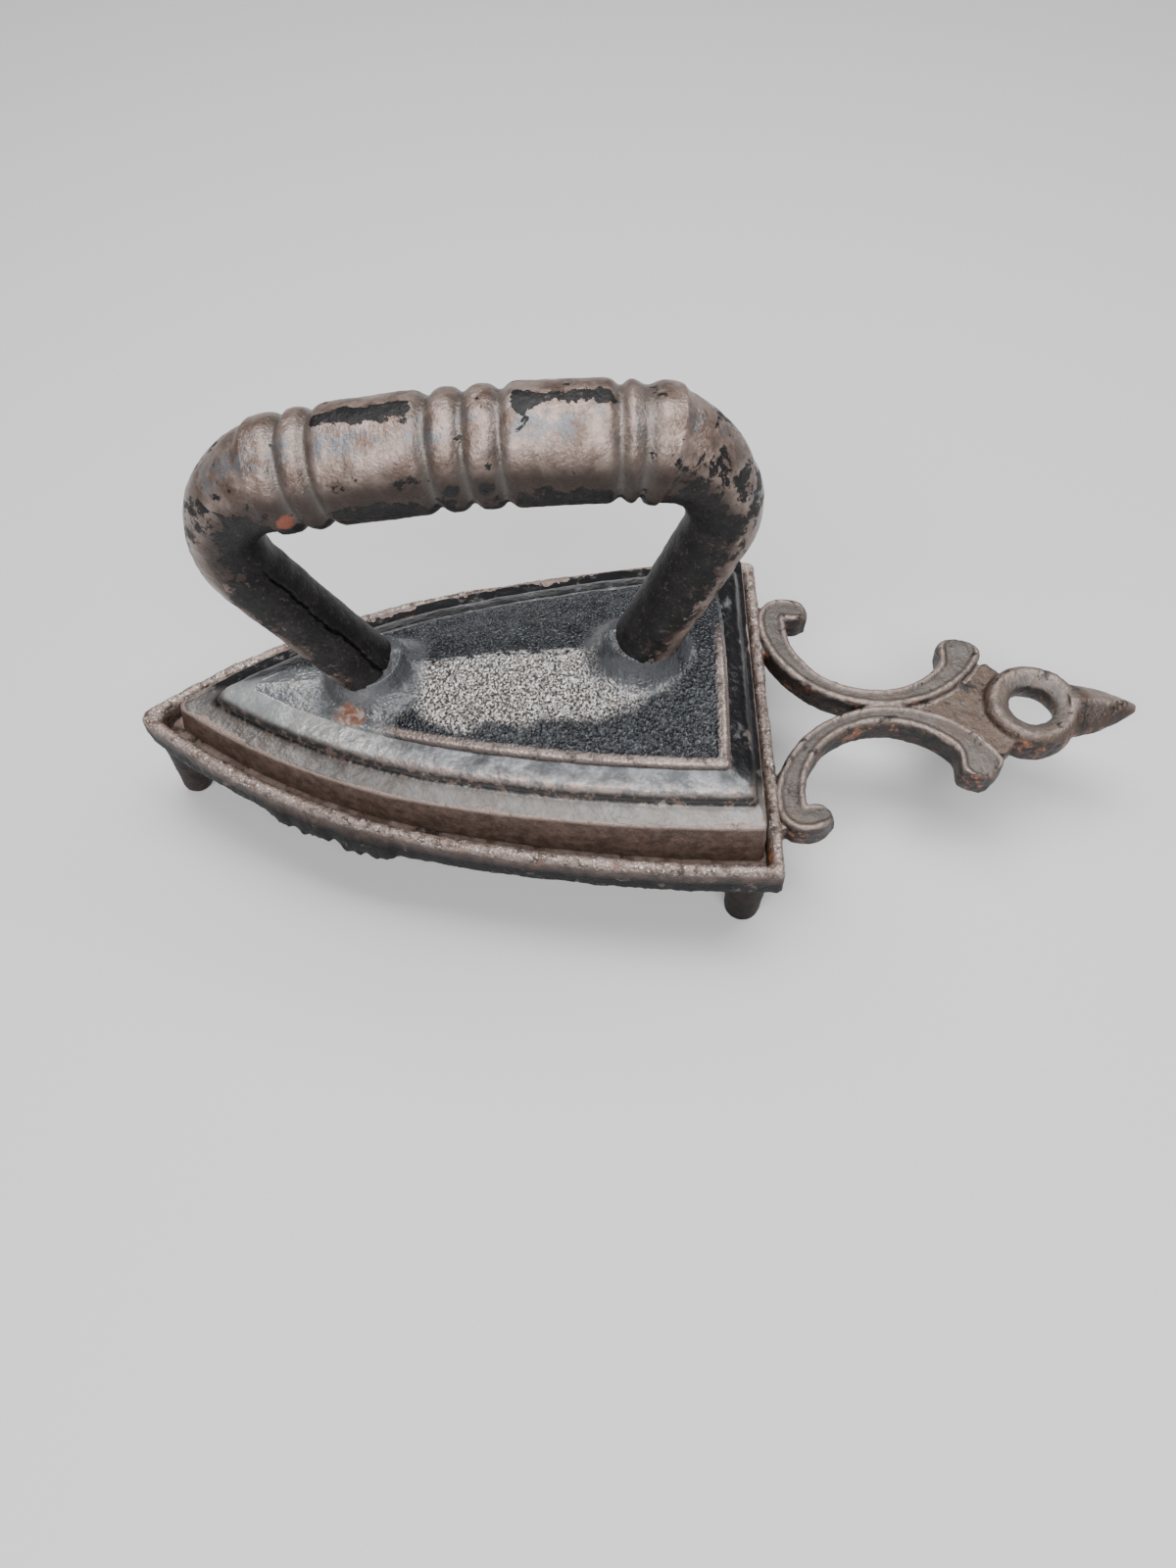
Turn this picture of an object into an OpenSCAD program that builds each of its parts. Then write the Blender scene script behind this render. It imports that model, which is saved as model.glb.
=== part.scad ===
// Flat sad iron standing on its footed trivet.
// The iron is a stepped wedge of cast iron with a hollow bent tube for a handle.
// The trivet is a fenced plate on three feet, with a handle of two scrolls, a ring and a finial.
// Lengths are in millimetres. The nose points to -X, the hanging ring to +X, and the feet stand on Z = 0.
// Left and right are those of a person who stands behind the heel, so left is -Y.

/* [Trivet plate] */
// Length of the fence crest from nose to heel
rim_length = 172; // [165:1:180]
// Half width of the fence crest at the heel
rim_half_width = 51.5; // [50:0.5:53]
// Radius of each long side behind the middle
heel_side_radius = 456; // [440:2:480]
// Radius of each long side ahead of the middle
nose_side_radius = 206; // [200:1:212]
// Angle of each long side to the centreline at the heel
heel_side_angle = 0.9; // [0.5:0.1:1.3]
// Height of the fence crest above the floor
rim_top = 36; // [34.5:0.5:38]
// Height of the deck that the iron stands on
deck_top = 30; // [29:0.5:31]
// Height of the underside of the deck and the fence
deck_bottom = 25; // [23:0.5:26]
// Thickness of the fence
rim_wall = 3.6; // [3:0.2:4]
// Width of the solid border of the deck
deck_border = 13; // [10:0.5:15]
// Width of the ribs between the deck openings
deck_rib = 7; // [5:0.5:9]

/* [Trivet feet] */
// Diameter of a rear foot where it leaves the deck
rear_foot_d = 11.8; // [10:0.2:13]
// Diameter of a rear foot near the floor
rear_foot_tip_d = 9.8; // [9:0.2:12]
// Distance of a rear foot's centre from the centreline
rear_foot_y = 44.5; // [40:0.5:44.5]
// Distance of a rear foot's centre ahead of the heel crest
rear_foot_back = 6.2; // [6.2:0.1:12]
// Distance of the front foot's tip behind the front of the fence
front_foot_back = 6; // [5:0.5:11]

/* [Trivet handle] */
// Height of the top of the scrolls
scroll_top = 35; // [34:0.5:36]
// Radius of a scroll's outer edge
scroll_outer_r = 34.5; // [34.2:0.1:35]
// Radius of a scroll's inner edge
scroll_inner_r = 23.7; // [22:0.1:24.5]
// Distance from the heel crest to the middle of a scroll
scroll_reach = 34.5; // [34:0.5:36]
// Distance of a scroll's outer circle from the centreline
scroll_offset = 34; // [33.8:0.1:34.1]
// Width of the edge beads along a scroll
scroll_bead = 2.1; // [1.5:0.1:2.5]
// Depth of the channel between the edge beads
scroll_channel = 1.3; // [0.5:0.1:2]
// Distance from the heel crest to the centre of the hanging ring
ring_reach = 75.5; // [74.5:0.5:76]
// Outer diameter of the hanging ring
ring_d = 27; // [26:0.5:28]
// Diameter of the hanging hole
hole_d = 12.6; // [10:0.2:14]
// Height of the lower end of the hole's straight part above the ring's underside
hole_start = 5; // [4:0.5:5.5]
// Length of the straight part of the hanging hole
hole_length = 4; // [3:0.5:4]
// Distance from the heel crest to the tip of the finial
finial_reach = 105; // [98:1:108]

/* [Iron body] */
// Gap between the fence crest and the foot of the iron's side
sole_inset = 5; // [4.5:0.1:5.5]
// How far the heel of the sole sits inside the crest of the fence
sole_heel_inset = 3.2; // [3:0.1:5]
// Height of the edge of the iron above the floor, at mid length
edge_height = 43.2; // [42:0.2:45]
// Rise of the edge of the iron towards the heel, for each unit of length
edge_slope = 0.0323; // [0.02:0.001:0.04]
// Height of the ridge above the panel's edge
ridge_rise = 9.8; // [8:0.2:11]

/* [Handle tube] */
// Radius of the grip
grip_r = 12.8; // [12:0.1:13.5]
// Depth of the rolled grooves
groove_depth = 1.3; // [1:0.1:2.6]
// Radius of the front leg
front_leg_r = 8.6; // [8:0.1:9.5]
// Radius of the rear leg
rear_leg_r = 8.2; // [7.6:0.1:9]
// Wall thickness of the tube
tube_wall = 2; // [1.5:0.1:3]
// Lean of the front leg from upright
front_lean = 29.4; // [27:0.2:31]
// Lean of the rear leg from upright
rear_lean = 21.7; // [20:0.2:24]
// Bend radius of the grip's arch
arch_r = 331; // [320:1:345]
// Bend radius of the front elbow
front_bend_r = 21.4; // [20:0.2:23]
// Bend radius of the rear elbow
rear_bend_r = 20.5; // [19.5:0.2:22]
// Height of the top of the grip's axis
arch_top = 132.8; // [130:0.2:136]

/* [Hidden] */

// Colours
cast_brown = [0.33, 0.27, 0.24];
cast_rust = [0.36, 0.26, 0.20];
worn_black = [0.13, 0.13, 0.14];
worn_bronze = [0.45, 0.36, 0.31];

// Heel crest and the two arcs of a long side. The arcs meet at mid length, where X = 0.
heel_x = rim_length / 2;
heel_arc = [heel_x + heel_side_radius * sin(heel_side_angle),
            rim_half_width - heel_side_radius * cos(heel_side_angle)];
mid_angle = asin(heel_arc.x / heel_side_radius);
nose_arc = [heel_arc.x - (heel_side_radius - nose_side_radius) * sin(mid_angle),
            heel_arc.y + (heel_side_radius - nose_side_radius) * cos(mid_angle)];
nose_round = 2.5;
corner_round = 1.5;
rim_draft = 1.6;
// Steps of the outline round the nose, along the two arcs of a long side and round the corner
nose_steps = 4;
nose_side_steps = 12;
heel_side_steps = 8;
corner_steps = 3;
// Facets of a full circle, from the large rounds to the small ones
large_facets = 96;
foot_facets = 48;
tip_facets = 32;
small_facets = 24;

// X of the centre of the rounded nose of the outline that lies inset from the crest
function nose_x(inset) =
    nose_arc.x - sqrt(pow(nose_side_radius - inset - nose_round, 2) - pow(nose_arc.y, 2));

// Overall length, which centres the part on the origin
front_x = nose_x(-rim_draft) - nose_round;
tip_x = heel_x + finial_reach;
centre_x = (front_x + tip_x) / 2;

module in_place() translate([-centre_x, 0, 0]) children();

// ---- Outline of the plate and of the iron ----

function arc(centre, r, from, to, steps) =
    [for (i = [1:steps]) let (a = from + (to - from) * i / steps) centre + r * [cos(a), sin(a)]];

// One long side, from the nose on the centreline round to the heel corner
function half_outline(inset, heel_inset) =
    let (nose = [nose_x(inset), 0],
         join = atan2(-nose_arc.y, nose.x - nose_arc.x),
         corner_x = heel_x - heel_inset - corner_round,
         corner_y = heel_arc.y
             + sqrt(pow(heel_side_radius - inset - corner_round, 2) - pow(corner_x - heel_arc.x, 2)),
         turn = atan2(corner_y - heel_arc.y, corner_x - heel_arc.x))
    concat([nose - [nose_round, 0]],
           arc(nose, nose_round, 180, join, nose_steps),
           arc(nose_arc, nose_side_radius - inset, join, 90 + mid_angle, nose_side_steps),
           arc(heel_arc, heel_side_radius - inset, 90 + mid_angle, turn, heel_side_steps),
           arc([corner_x, corner_y], corner_round, turn, 0, corner_steps));

// The whole outline, clockwise from above
function outline(inset, heel_inset) =
    let (side = half_outline(inset, heel_inset), n = len(side))
    concat(side, [for (i = [n - 1:-1:1]) [side[i].x, -side[i].y]]);

// Half width at x of the outline that lies inset from the crest
function half_width(x, inset) =
    let (c = x < 0 ? nose_arc : heel_arc, r = (x < 0 ? nose_side_radius : heel_side_radius) - inset)
    c.y + sqrt(max(r * r - pow(x - c.x, 2), 0));

// ---- Solids from rings of points, each ring clockwise seen from the next one ----

function strip(a, b, n) =
    [for (i = [0:n - 1]) let (j = (i + 1) % n) each [[a + i, a + j, b + j], [a + i, b + j, b + i]]];

function reversed(list) = [for (i = [len(list) - 1:-1:0]) list[i]];

// Solid between the first ring and the last, with flat ends
module loft(rings) {
    n = len(rings[0]);
    m = len(rings);
    polyhedron(
        points = [for (r = rings) each r],
        faces = concat([reversed([for (i = [0:n - 1]) i])],
                       [for (k = [0:m - 2]) each strip(k * n, (k + 1) * n, n)],
                       [[for (i = [0:n - 1]) (m - 1) * n + i]]));
}

// Solid whose last ring joins its first, as a fence round an outline
module closed_loft(rings) {
    n = len(rings[0]);
    m = len(rings);
    polyhedron(
        points = [for (r = rings) each r],
        faces = [for (k = [0:m - 1]) each strip(k * n, ((k + 1) % m) * n, n)]);
}

// ---- Trivet ----

// Section of the fence as inset from the crest and height, from the outer foot over to the inner foot
deck_inset = rim_wall - rim_draft;
crest_drop = 2;
crest_shoulder_drop = 0.65;
crest_shoulder = 0.5;
rim_section = [
    [-rim_draft, deck_bottom],
    [-rim_draft, rim_top - crest_drop],
    [-rim_draft + crest_shoulder, rim_top - crest_shoulder_drop],
    [0, rim_top],
    [deck_inset - crest_shoulder, rim_top - crest_shoulder_drop],
    [deck_inset, rim_top - crest_drop],
    [deck_inset, deck_bottom]
];

module trivet_rim()
    color(cast_brown) in_place()
        closed_loft([for (s = rim_section) [for (p = outline(s.x, s.x)) [p.x, p.y, s.y]]]);

// Openings of the deck, parted by a spine and by cross ribs
rib_pitch = 25;
rib_count = 5;
first_rib_x = -44;
module deck_openings()
    difference() {
        polygon(outline(deck_border, deck_border));
        square([2 * rim_length, deck_rib], center = true);
        for (i = [0:rib_count - 1])
            translate([first_rib_x + i * rib_pitch, 0]) square([deck_rib, 2 * rim_length], center = true);
        translate([first_rib_x - rim_length, -rim_length]) square([rim_length, 2 * rim_length]);
    }

module trivet_deck()
    color(cast_rust) in_place() translate([0, 0, deck_bottom])
        linear_extrude(deck_top - deck_bottom) difference() {
            polygon(outline(deck_inset, deck_inset));
            deck_openings();
        }

// Tapered round foot with a rounded tip
foot_round = 1.6;
foot_flat_r = rear_foot_tip_d / 2 - foot_round;
module rear_foot(side)
    color(cast_brown) in_place() translate([heel_x - rear_foot_back, side * rear_foot_y, 0])
        rotate_extrude($fn = foot_facets) union() {
            translate([foot_flat_r, foot_round]) circle(foot_round, $fn = small_facets);
            square([foot_flat_r, foot_round * 2]);
            polygon([[0, foot_round], [rear_foot_tip_d / 2, foot_round],
                     [rear_foot_d / 2, deck_bottom], [0, deck_bottom]]);
        }
module rear_foot_left() rear_foot(-1);
module rear_foot_right() rear_foot(1);

// Bracket under the nose that leans forward to a small round tip
front_tip_r = 4.6;
front_tip_bevel = 1.2;
front_tip_height = 5.2;
bracket_depth = 2;
bracket_r = 7;
bracket_back = 12.5;
bracket_nose_r = 4;
bracket_nose_back = 3;
module front_foot()
    color(cast_brown) in_place() translate([front_x + front_foot_back, 0, 0]) hull() {
        translate([bracket_back, 0, deck_bottom - bracket_depth])
            cylinder(h = bracket_depth, r = bracket_r, $fn = tip_facets);
        translate([bracket_nose_back, 0, deck_bottom - bracket_depth])
            cylinder(h = bracket_depth, r = bracket_nose_r, $fn = tip_facets);
        translate([0, 0, front_tip_bevel])
            cylinder(h = front_tip_height - front_tip_bevel, r = front_tip_r, $fn = tip_facets);
        cylinder(h = front_tip_height, r = front_tip_r - front_tip_bevel, $fn = tip_facets);
    }

// The scroll handle starts at the outer face of the fence
handle_x = heel_x + rim_draft;
handle_bottom = deck_bottom;
scroll_x = heel_x + scroll_reach;
// The inner circle lies off the outer one's centre, so that the scroll is narrowest at its waist
scroll_inner_shift = [-1.5, -4.5];
scroll_inner = [scroll_x, scroll_offset] + scroll_inner_shift;
scroll_end_y = 26;
// The toe's two ends, and a length that reaches past either side of a scroll
toe_heel = [heel_x + 5.5, 35.2];
toe_heel_r = 3.9;
toe_tip = [heel_x + 14, 34.2];
toe_tip_r = 2.7;
past_scroll = 2 * scroll_outer_r;
// Where a crescent gives way to its toe, and how far its two halves overlap
crescent_side_y = 34.2;
crescent_overlap = 1;

// Crescent between a scroll's outer and inner circles, drawn in by inset from both edges
module crescent(inset)
    intersection() {
        difference() {
            translate([scroll_x, scroll_offset]) circle(scroll_outer_r - inset, $fn = large_facets);
            translate(scroll_inner) circle(scroll_inner_r + inset, $fn = large_facets);
        }
        union() {
            translate([handle_x + inset / 2, inset / 2])
                square([scroll_x - handle_x, crescent_side_y]);
            translate([scroll_x - crescent_overlap, inset / 2]) square([past_scroll, scroll_end_y - inset]);
        }
    }

// Toe that curls out from the end of the scroll beside the fence
module toe()
    intersection() {
        hull() {
            translate(toe_heel) circle(toe_heel_r, $fn = tip_facets);
            translate(toe_tip) circle(toe_tip_r, $fn = tip_facets);
        }
        translate([handle_x, 0]) square(past_scroll);
    }

module scroll()
    translate([0, 0, handle_bottom]) difference() {
        linear_extrude(scroll_top - handle_bottom) union() {
            crescent(0);
            toe();
        }
        translate([0, 0, scroll_top - handle_bottom - scroll_channel])
            linear_extrude(scroll_channel * 2) crescent(scroll_bead);
    }
module scroll_left() color(cast_brown) in_place() mirror([0, 1, 0]) scroll();
module scroll_right() color(cast_brown) in_place() scroll();

// Thin floor between the two scrolls and the ring
ring_x = heel_x + ring_reach;
web_lift = 0.5;
web_bottom = handle_bottom + web_lift;
web_top = 31;
web_start = 10;
web_x = scroll_x + web_start;
web_half_width = 15;
module scroll_web()
    color(cast_brown) in_place() translate([0, 0, web_bottom])
        linear_extrude(web_top - web_bottom) difference() {
            translate([web_x, -web_half_width]) square([ring_x - ring_d / 4 - web_x, 2 * web_half_width]);
            for (side = [-1, 1])
                translate([scroll_x, side * scroll_offset]) circle(scroll_outer_r, $fn = large_facets);
            translate([ring_x, 0]) circle(d = ring_d, $fn = large_facets);
        }

// Hanging ring with a rounded crest and a straight hole between two funnels, as radius and height
ring_r = ring_d / 2;
hole_r = hole_d / 2;
ring_height = 10.8;
hole_flare = 2.5;
ring_foot_bevel = 1;
ring_wall_drop = 3.3;
crest_bevel = 1.2;
crest_start = 2.2;
crest_end = 3.3;
funnel_start = 4.6;
funnel_drop = 1;
ring_section = [
    [hole_r + hole_flare, 0], [ring_r - ring_foot_bevel, 0], [ring_r, ring_foot_bevel],
    [ring_r, ring_height - ring_wall_drop], [ring_r - crest_bevel, ring_height - crest_bevel],
    [ring_r - crest_start, ring_height], [ring_r - crest_end, ring_height],
    [ring_r - funnel_start, ring_height - funnel_drop],
    [hole_r, hole_start + hole_length], [hole_r, hole_start]
];
module hanging_ring()
    color(cast_brown) in_place() translate([ring_x, 0, handle_bottom])
        rotate_extrude($fn = large_facets) polygon(ring_section);

// Leaf-shaped spike beyond the ring: distance from the ring's centre, height and radius of its three balls
finial_base = [10, 5, 5.2];
finial_leaf = [17.5, 5.3, 5];
finial_tip_r = 1;
finial_tip = [tip_x - ring_x - finial_tip_r, 6, finial_tip_r];
finial_flare = 1.5;
finial_leaf_flare = 1.15;
module finial_ball(ball, flare)
    translate([ring_x + ball[0], 0, handle_bottom + ball[1]]) scale([1, flare, 1])
        sphere(ball[2], $fn = small_facets);
module finial()
    color(cast_brown) in_place() difference() {
        hull() {
            finial_ball(finial_base, finial_flare);
            finial_ball(finial_leaf, finial_leaf_flare);
            finial_ball(finial_tip, 1);
        }
        translate([ring_x, 0, 0]) cylinder(h = 2 * rim_top, d = ring_d, $fn = large_facets);
    }

// ---- Iron body ----

// Height of the edge of the iron at x
function edge_z(x) = edge_height + edge_slope * x;
function edge_ring(inset, heel_inset, lift) =
    [for (p = outline(inset, heel_inset)) [p.x, p.y, edge_z(p.x) + lift]];

side_draft = 1.2;
heel_draft = 0.5;
shoulder_base = sole_inset + side_draft;
heel_base = sole_heel_inset + heel_draft;
module sole_block()
    color(cast_rust) in_place() loft([
        [for (p = outline(sole_inset, sole_heel_inset)) [p.x, p.y, deck_top]],
        edge_ring(shoulder_base, heel_base, 0)
    ]);

// Sections of the shoulder: inset at the sides, inset at the heel and lift above the edge
shoulder = [[0.8, 0.4, 0], [6.3, 2.2, 1.7], [7.6, 3.4, 5.2], [12.8, 8.8, 7.2]];
module stepped_shoulder()
    color(worn_black) in_place() difference() {
        loft([for (s = shoulder) edge_ring(shoulder_base + s[0], heel_base + s[1], s[2])]);
        legs();
    }

// Crown: a beaded edge round a panel that swells up to a ridge on the centreline
crown_inset = shoulder_base + shoulder[3][0];
crown_lift = shoulder[3][2];
crown_heel_x = heel_x - heel_base - shoulder[3][1];
bead_h = 1.2;
bead_w = 2.2;
// Share of the bead's width that each of its slopes takes, and the share of a half width that it may fill
bead_slope = 0.25;
bead_share = 1 / 3;
panel_lift = 0.3;
panel_steps = 6;
ridge_flat_x = 22;
ridge_run = 48.7;
ridge_least = 1.6;
// Share of the panel's fall from ridge to edge that is straight. The rest is a parabola.
straight_fall = 0.72;
function ridge_height(x) =
    max(ridge_least, ridge_rise * (1 - pow(max(ridge_flat_x - x, 0) / ridge_run, 2)));
// Height of the panel above its edge, at a fraction t of the way from the ridge to the edge
function panel_swell(x, t) = ridge_height(x) * (1 - straight_fall * t - (1 - straight_fall) * t * t);

// Section of the crown at x, with the panel raised by lift
least_half_width = 0.8;
function crown_section(x, lift) =
    let (w = max(half_width(x, crown_inset), least_half_width), base = edge_z(x) + crown_lift,
         b = min(bead_w, w * bead_share),
         side = concat([[w, base], [w - bead_slope * b, base + bead_h],
                         [w - (1 - bead_slope) * b, base + bead_h]],
                       [for (k = [panel_steps:-1:1]) let (t = k / panel_steps)
                           [(w - b) * t, base + panel_lift + lift + panel_swell(x, t)]]))
    concat([for (p = side) [x, -p.x, p.y]],
           [[x, 0, base + panel_lift + lift + panel_swell(x, 0)]],
           [for (p = reversed(side)) [x, p.x, p.y]]);

// Stations of the crown, closer together towards the nose
crown_steps = 22;
crown_spacing = 1.4;
crown_nose_gap = 0.3;
crown_nose_x = nose_x(crown_inset) - nose_round + crown_nose_gap;
crown_xs = [for (i = [0:crown_steps])
    crown_nose_x + (crown_heel_x - bead_w - crown_nose_x) * pow(i / crown_steps, crown_spacing)];

module crown_panel()
    color(worn_black) in_place() difference() {
        loft(concat([for (x = crown_xs) crown_section(x, 0)],
                    [crown_section(crown_heel_x - bead_w * (1 - bead_slope), bead_h - panel_lift),
                     crown_section(crown_heel_x - bead_w * bead_slope, bead_h - panel_lift),
                     crown_section(crown_heel_x, 0)]));
        legs();
    }

// ---- Handle tube ----

// Length of tube cast into the crown below the surface
root_depth = 3.5;
// Points of the tube's axis: the arch's top, its two ends and the elbow centres
arch_top_x = 41.4;
front_arch_angle = 12.1;
rear_arch_angle = 1.3;
function on_arc(centre, r, slope) = [centre.x - r * sin(slope), centre.y + r * cos(slope)];
arch_centre = [arch_top_x, arch_top - arch_r];
front_centre = on_arc(arch_centre, arch_r - front_bend_r, front_arch_angle);
rear_centre = on_arc(arch_centre, arch_r - rear_bend_r, -rear_arch_angle);
front_slope = 90 + front_lean;
rear_slope = -90 - rear_lean;
front_top = on_arc(front_centre, front_bend_r, front_slope);
rear_top = on_arc(rear_centre, rear_bend_r, rear_slope);
front_root_z = 52.1;
rear_root_z = 59.9;

// Lengths along the axis at the end of each stretch, from the root of the front leg
front_leg_end = (front_top.y - front_root_z) / cos(front_lean);
front_bend_end = front_leg_end + front_bend_r * (front_slope - front_arch_angle) * PI / 180;
arch_end = front_bend_end + arch_r * (front_arch_angle + rear_arch_angle) * PI / 180;
rear_bend_end = arch_end + rear_bend_r * (-rear_arch_angle - rear_slope) * PI / 180;
rear_leg_end = rear_bend_end + (rear_top.y - rear_root_z) / cos(rear_lean);

// The grip lies a little behind the middle of the arch and reaches further forward than back
grip_offset = 3.6;
grip_front_length = 45.5;
grip_rear_length = 42.7;
grip_mid = (front_bend_end + arch_end) / 2 + grip_offset;
grip_start = grip_mid - grip_front_length;
grip_end = grip_mid + grip_rear_length;

// Slope of the axis at length s
function slope_at(s) = lookup(s, [
    [front_leg_end, front_slope], [front_bend_end, front_arch_angle],
    [arch_end, -rear_arch_angle], [rear_bend_end, rear_slope]
]);
// Place of the axis at length s, as X and Z
function axis_at(s) =
    s < front_leg_end ? front_top - (front_leg_end - s) * [cos(front_slope), sin(front_slope)] :
    s < front_bend_end ? on_arc(front_centre, front_bend_r, slope_at(s)) :
    s < arch_end ? on_arc(arch_centre, arch_r, slope_at(s)) :
    s < rear_bend_end ? on_arc(rear_centre, rear_bend_r, slope_at(s)) :
    rear_top + (s - rear_bend_end) * [cos(rear_slope), sin(rear_slope)];

// Grooves rolled into the grip, as distances from the middle one
grooves = [-38.4, -31.8, -7.4, 0, 7.6, 31.7, 36.6];
groove_half_width = 1.4;
function total(list, i = 0) = i < len(list) ? list[i] + total(list, i + 1) : 0;
function groove_at(s) =
    groove_depth * min(1, total([for (g = grooves) exp(-pow((s - grip_mid - g) / groove_half_width, 2))]));
// Radius of the tube without its grooves. It swells along each elbow, then steps up to the grip.
elbow_mid = 0.56;
elbow_mid_r = 9.1;
elbow_end_r = 11.8;
grip_step = 1.5;
function between(a, b, t) = a + (b - a) * t;
function plain_radius(s) = lookup(s, [
    [front_leg_end, front_leg_r], [between(front_leg_end, grip_start, elbow_mid), elbow_mid_r],
    [grip_start, elbow_end_r], [grip_start + grip_step, grip_r],
    [grip_end - grip_step, grip_r], [grip_end, elbow_end_r],
    [between(rear_bend_end, grip_end, elbow_mid), elbow_mid_r], [rear_bend_end, rear_leg_r]
]);
// Casting fillet round the root of each leg
fillet_r = 3.5;
fillet_foot = 1;
function fillet_at(s) =
    let (up = max(min(s, rear_leg_end - s) - fillet_foot, 0)) up < fillet_r
        ? fillet_r - sqrt(fillet_r * fillet_r - pow(fillet_r - up, 2)) : 0;

tube_sides = 24;
function tube_ring(s, r) =
    let (c = axis_at(s), slope = slope_at(s))
    [for (i = [0:tube_sides - 1]) let (a = 360 * i / tube_sides, v = r * sin(a))
        [c.x + v * sin(slope), r * cos(a), c.y - v * cos(slope)]];

// Solid stretch of the tube from one length to another, with its surface shifted by grow
module stretch(from, to, steps, grow, grooved)
    loft([for (i = [0:steps]) let (s = from + (to - from) * i / steps)
        tube_ring(s, plain_radius(s) + grow + (grooved ? fillet_at(s) - groove_at(s) : 0))]);

// Hollow stretch of the tube. Its bore runs a little past both ends.
bore_overrun = 1;
// The bore is plain, so it takes one step for so many of the surface's
bore_thinning = 4;
module tube(from, to, steps, wall)
    difference() {
        stretch(from, to, steps, 0, true);
        stretch(from - bore_overrun, to + bore_overrun, ceil(steps / bore_thinning), -wall, false);
    }

leg_steps = 12;
elbow_steps = 16;
grip_steps = 88;

// Both legs with their roots, as the solids that the iron is cast round
module legs() {
    stretch(-root_depth, front_leg_end, leg_steps, 0, true);
    stretch(rear_bend_end, rear_leg_end + root_depth, leg_steps, 0, true);
}

module front_leg() color(worn_black) in_place() tube(-root_depth, front_leg_end, leg_steps, tube_wall);
module front_elbow() color(worn_black) in_place() tube(front_leg_end, grip_start, elbow_steps, tube_wall);
module grip()
    color(worn_bronze) in_place() tube(grip_start, grip_end, grip_steps, tube_wall + groove_depth);
module rear_elbow() color(worn_black) in_place() tube(grip_end, rear_bend_end, elbow_steps, tube_wall);
module rear_leg()
    color(worn_black) in_place() tube(rear_bend_end, rear_leg_end + root_depth, leg_steps, tube_wall);

trivet_deck();
trivet_rim();
front_foot();
rear_foot_left();
rear_foot_right();
scroll_left();
scroll_right();
scroll_web();
hanging_ring();
finial();
sole_block();
stepped_shoulder();
crown_panel();
front_leg();
front_elbow();
grip();
rear_elbow();
rear_leg();
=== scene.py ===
"""Looks of a worn sad iron on its footed trivet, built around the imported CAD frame."""
import math
from types import SimpleNamespace

import bmesh
import bpy
import numpy as np
from mathutils import Matrix, Vector, noise


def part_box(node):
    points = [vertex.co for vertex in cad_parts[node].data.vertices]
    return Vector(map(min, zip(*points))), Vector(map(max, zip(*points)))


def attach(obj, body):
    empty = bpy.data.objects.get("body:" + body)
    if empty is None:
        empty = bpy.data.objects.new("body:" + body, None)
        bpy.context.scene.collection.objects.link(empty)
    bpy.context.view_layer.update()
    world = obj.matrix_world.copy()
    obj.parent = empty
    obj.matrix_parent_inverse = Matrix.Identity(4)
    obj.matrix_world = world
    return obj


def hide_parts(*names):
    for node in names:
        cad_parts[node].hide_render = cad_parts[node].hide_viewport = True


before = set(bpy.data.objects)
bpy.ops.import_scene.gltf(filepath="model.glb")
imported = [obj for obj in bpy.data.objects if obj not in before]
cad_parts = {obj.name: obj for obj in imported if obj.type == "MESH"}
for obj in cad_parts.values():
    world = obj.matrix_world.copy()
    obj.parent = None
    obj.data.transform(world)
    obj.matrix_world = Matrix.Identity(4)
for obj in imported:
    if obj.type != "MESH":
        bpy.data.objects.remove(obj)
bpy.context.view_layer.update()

# ---- sizes, in millimetres
MM = 0.001


def box_mm(node):
    low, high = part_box(node)
    return np.array(low) / MM, np.array(high) / MM


RIM_LOW, RIM_HIGH = box_mm("trivet_rim")
DECK_LOW, DECK_HIGH = box_mm("trivet_deck")
RING_LOW, RING_HIGH = box_mm("hanging_ring")
REAR_FOOT_LOW, REAR_FOOT_HIGH = box_mm("rear_foot_left")

RIM_DRAFT = 1.6
RIM_WALL = 3.6
HEEL = RIM_HIGH[0] - RIM_DRAFT
HEEL_LENGTH = 86.0
MID = HEEL - HEEL_LENGTH
HALF_WIDTH = 51.5
RIM_TOP = RIM_HIGH[2]
DECK_TOP = DECK_HIGH[2]
DECK_BOTTOM = DECK_LOW[2]
NOSE_TIP = RIM_LOW[0]

# Plan of the plate: each long side is two arcs that meet at MID
HEEL_SIDE_R = 456.0
NOSE_SIDE_R = 206.0
HEEL_SIDE_ANGLE = math.radians(0.9)
NOSE_ROUND = 2.5
CORNER_ROUND = 1.5
NOSE_STEPS = 19
NOSE_SIDE_STEPS = 176
HEEL_SIDE_STEPS = 160
CORNER_STEPS = 12
HEEL_STEPS = 96
HEEL_ARC = np.array([HEEL - MID + HEEL_SIDE_R * math.sin(HEEL_SIDE_ANGLE),
                     HALF_WIDTH - HEEL_SIDE_R * math.cos(HEEL_SIDE_ANGLE)])
MID_ANGLE = math.asin(HEEL_ARC[0] / HEEL_SIDE_R)
NOSE_ARC = HEEL_ARC + (HEEL_SIDE_R - NOSE_SIDE_R) * np.array([-math.sin(MID_ANGLE), math.cos(MID_ANGLE)])

# Feet. The front one widens and leans forward as it rises
FOOT_TIP_R = 4.9
FRONT_TIP_R = 4.4
FRONT_TIP_X = box_mm("front_foot")[0][0] + 4.6
FRONT_TIP_ROUND = 1.8
FRONT_LEAN = 6.2
FRONT_LENGTHENING = 5.5
FRONT_WIDENING = 2.4
ROUND_STEPS = 64

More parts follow.
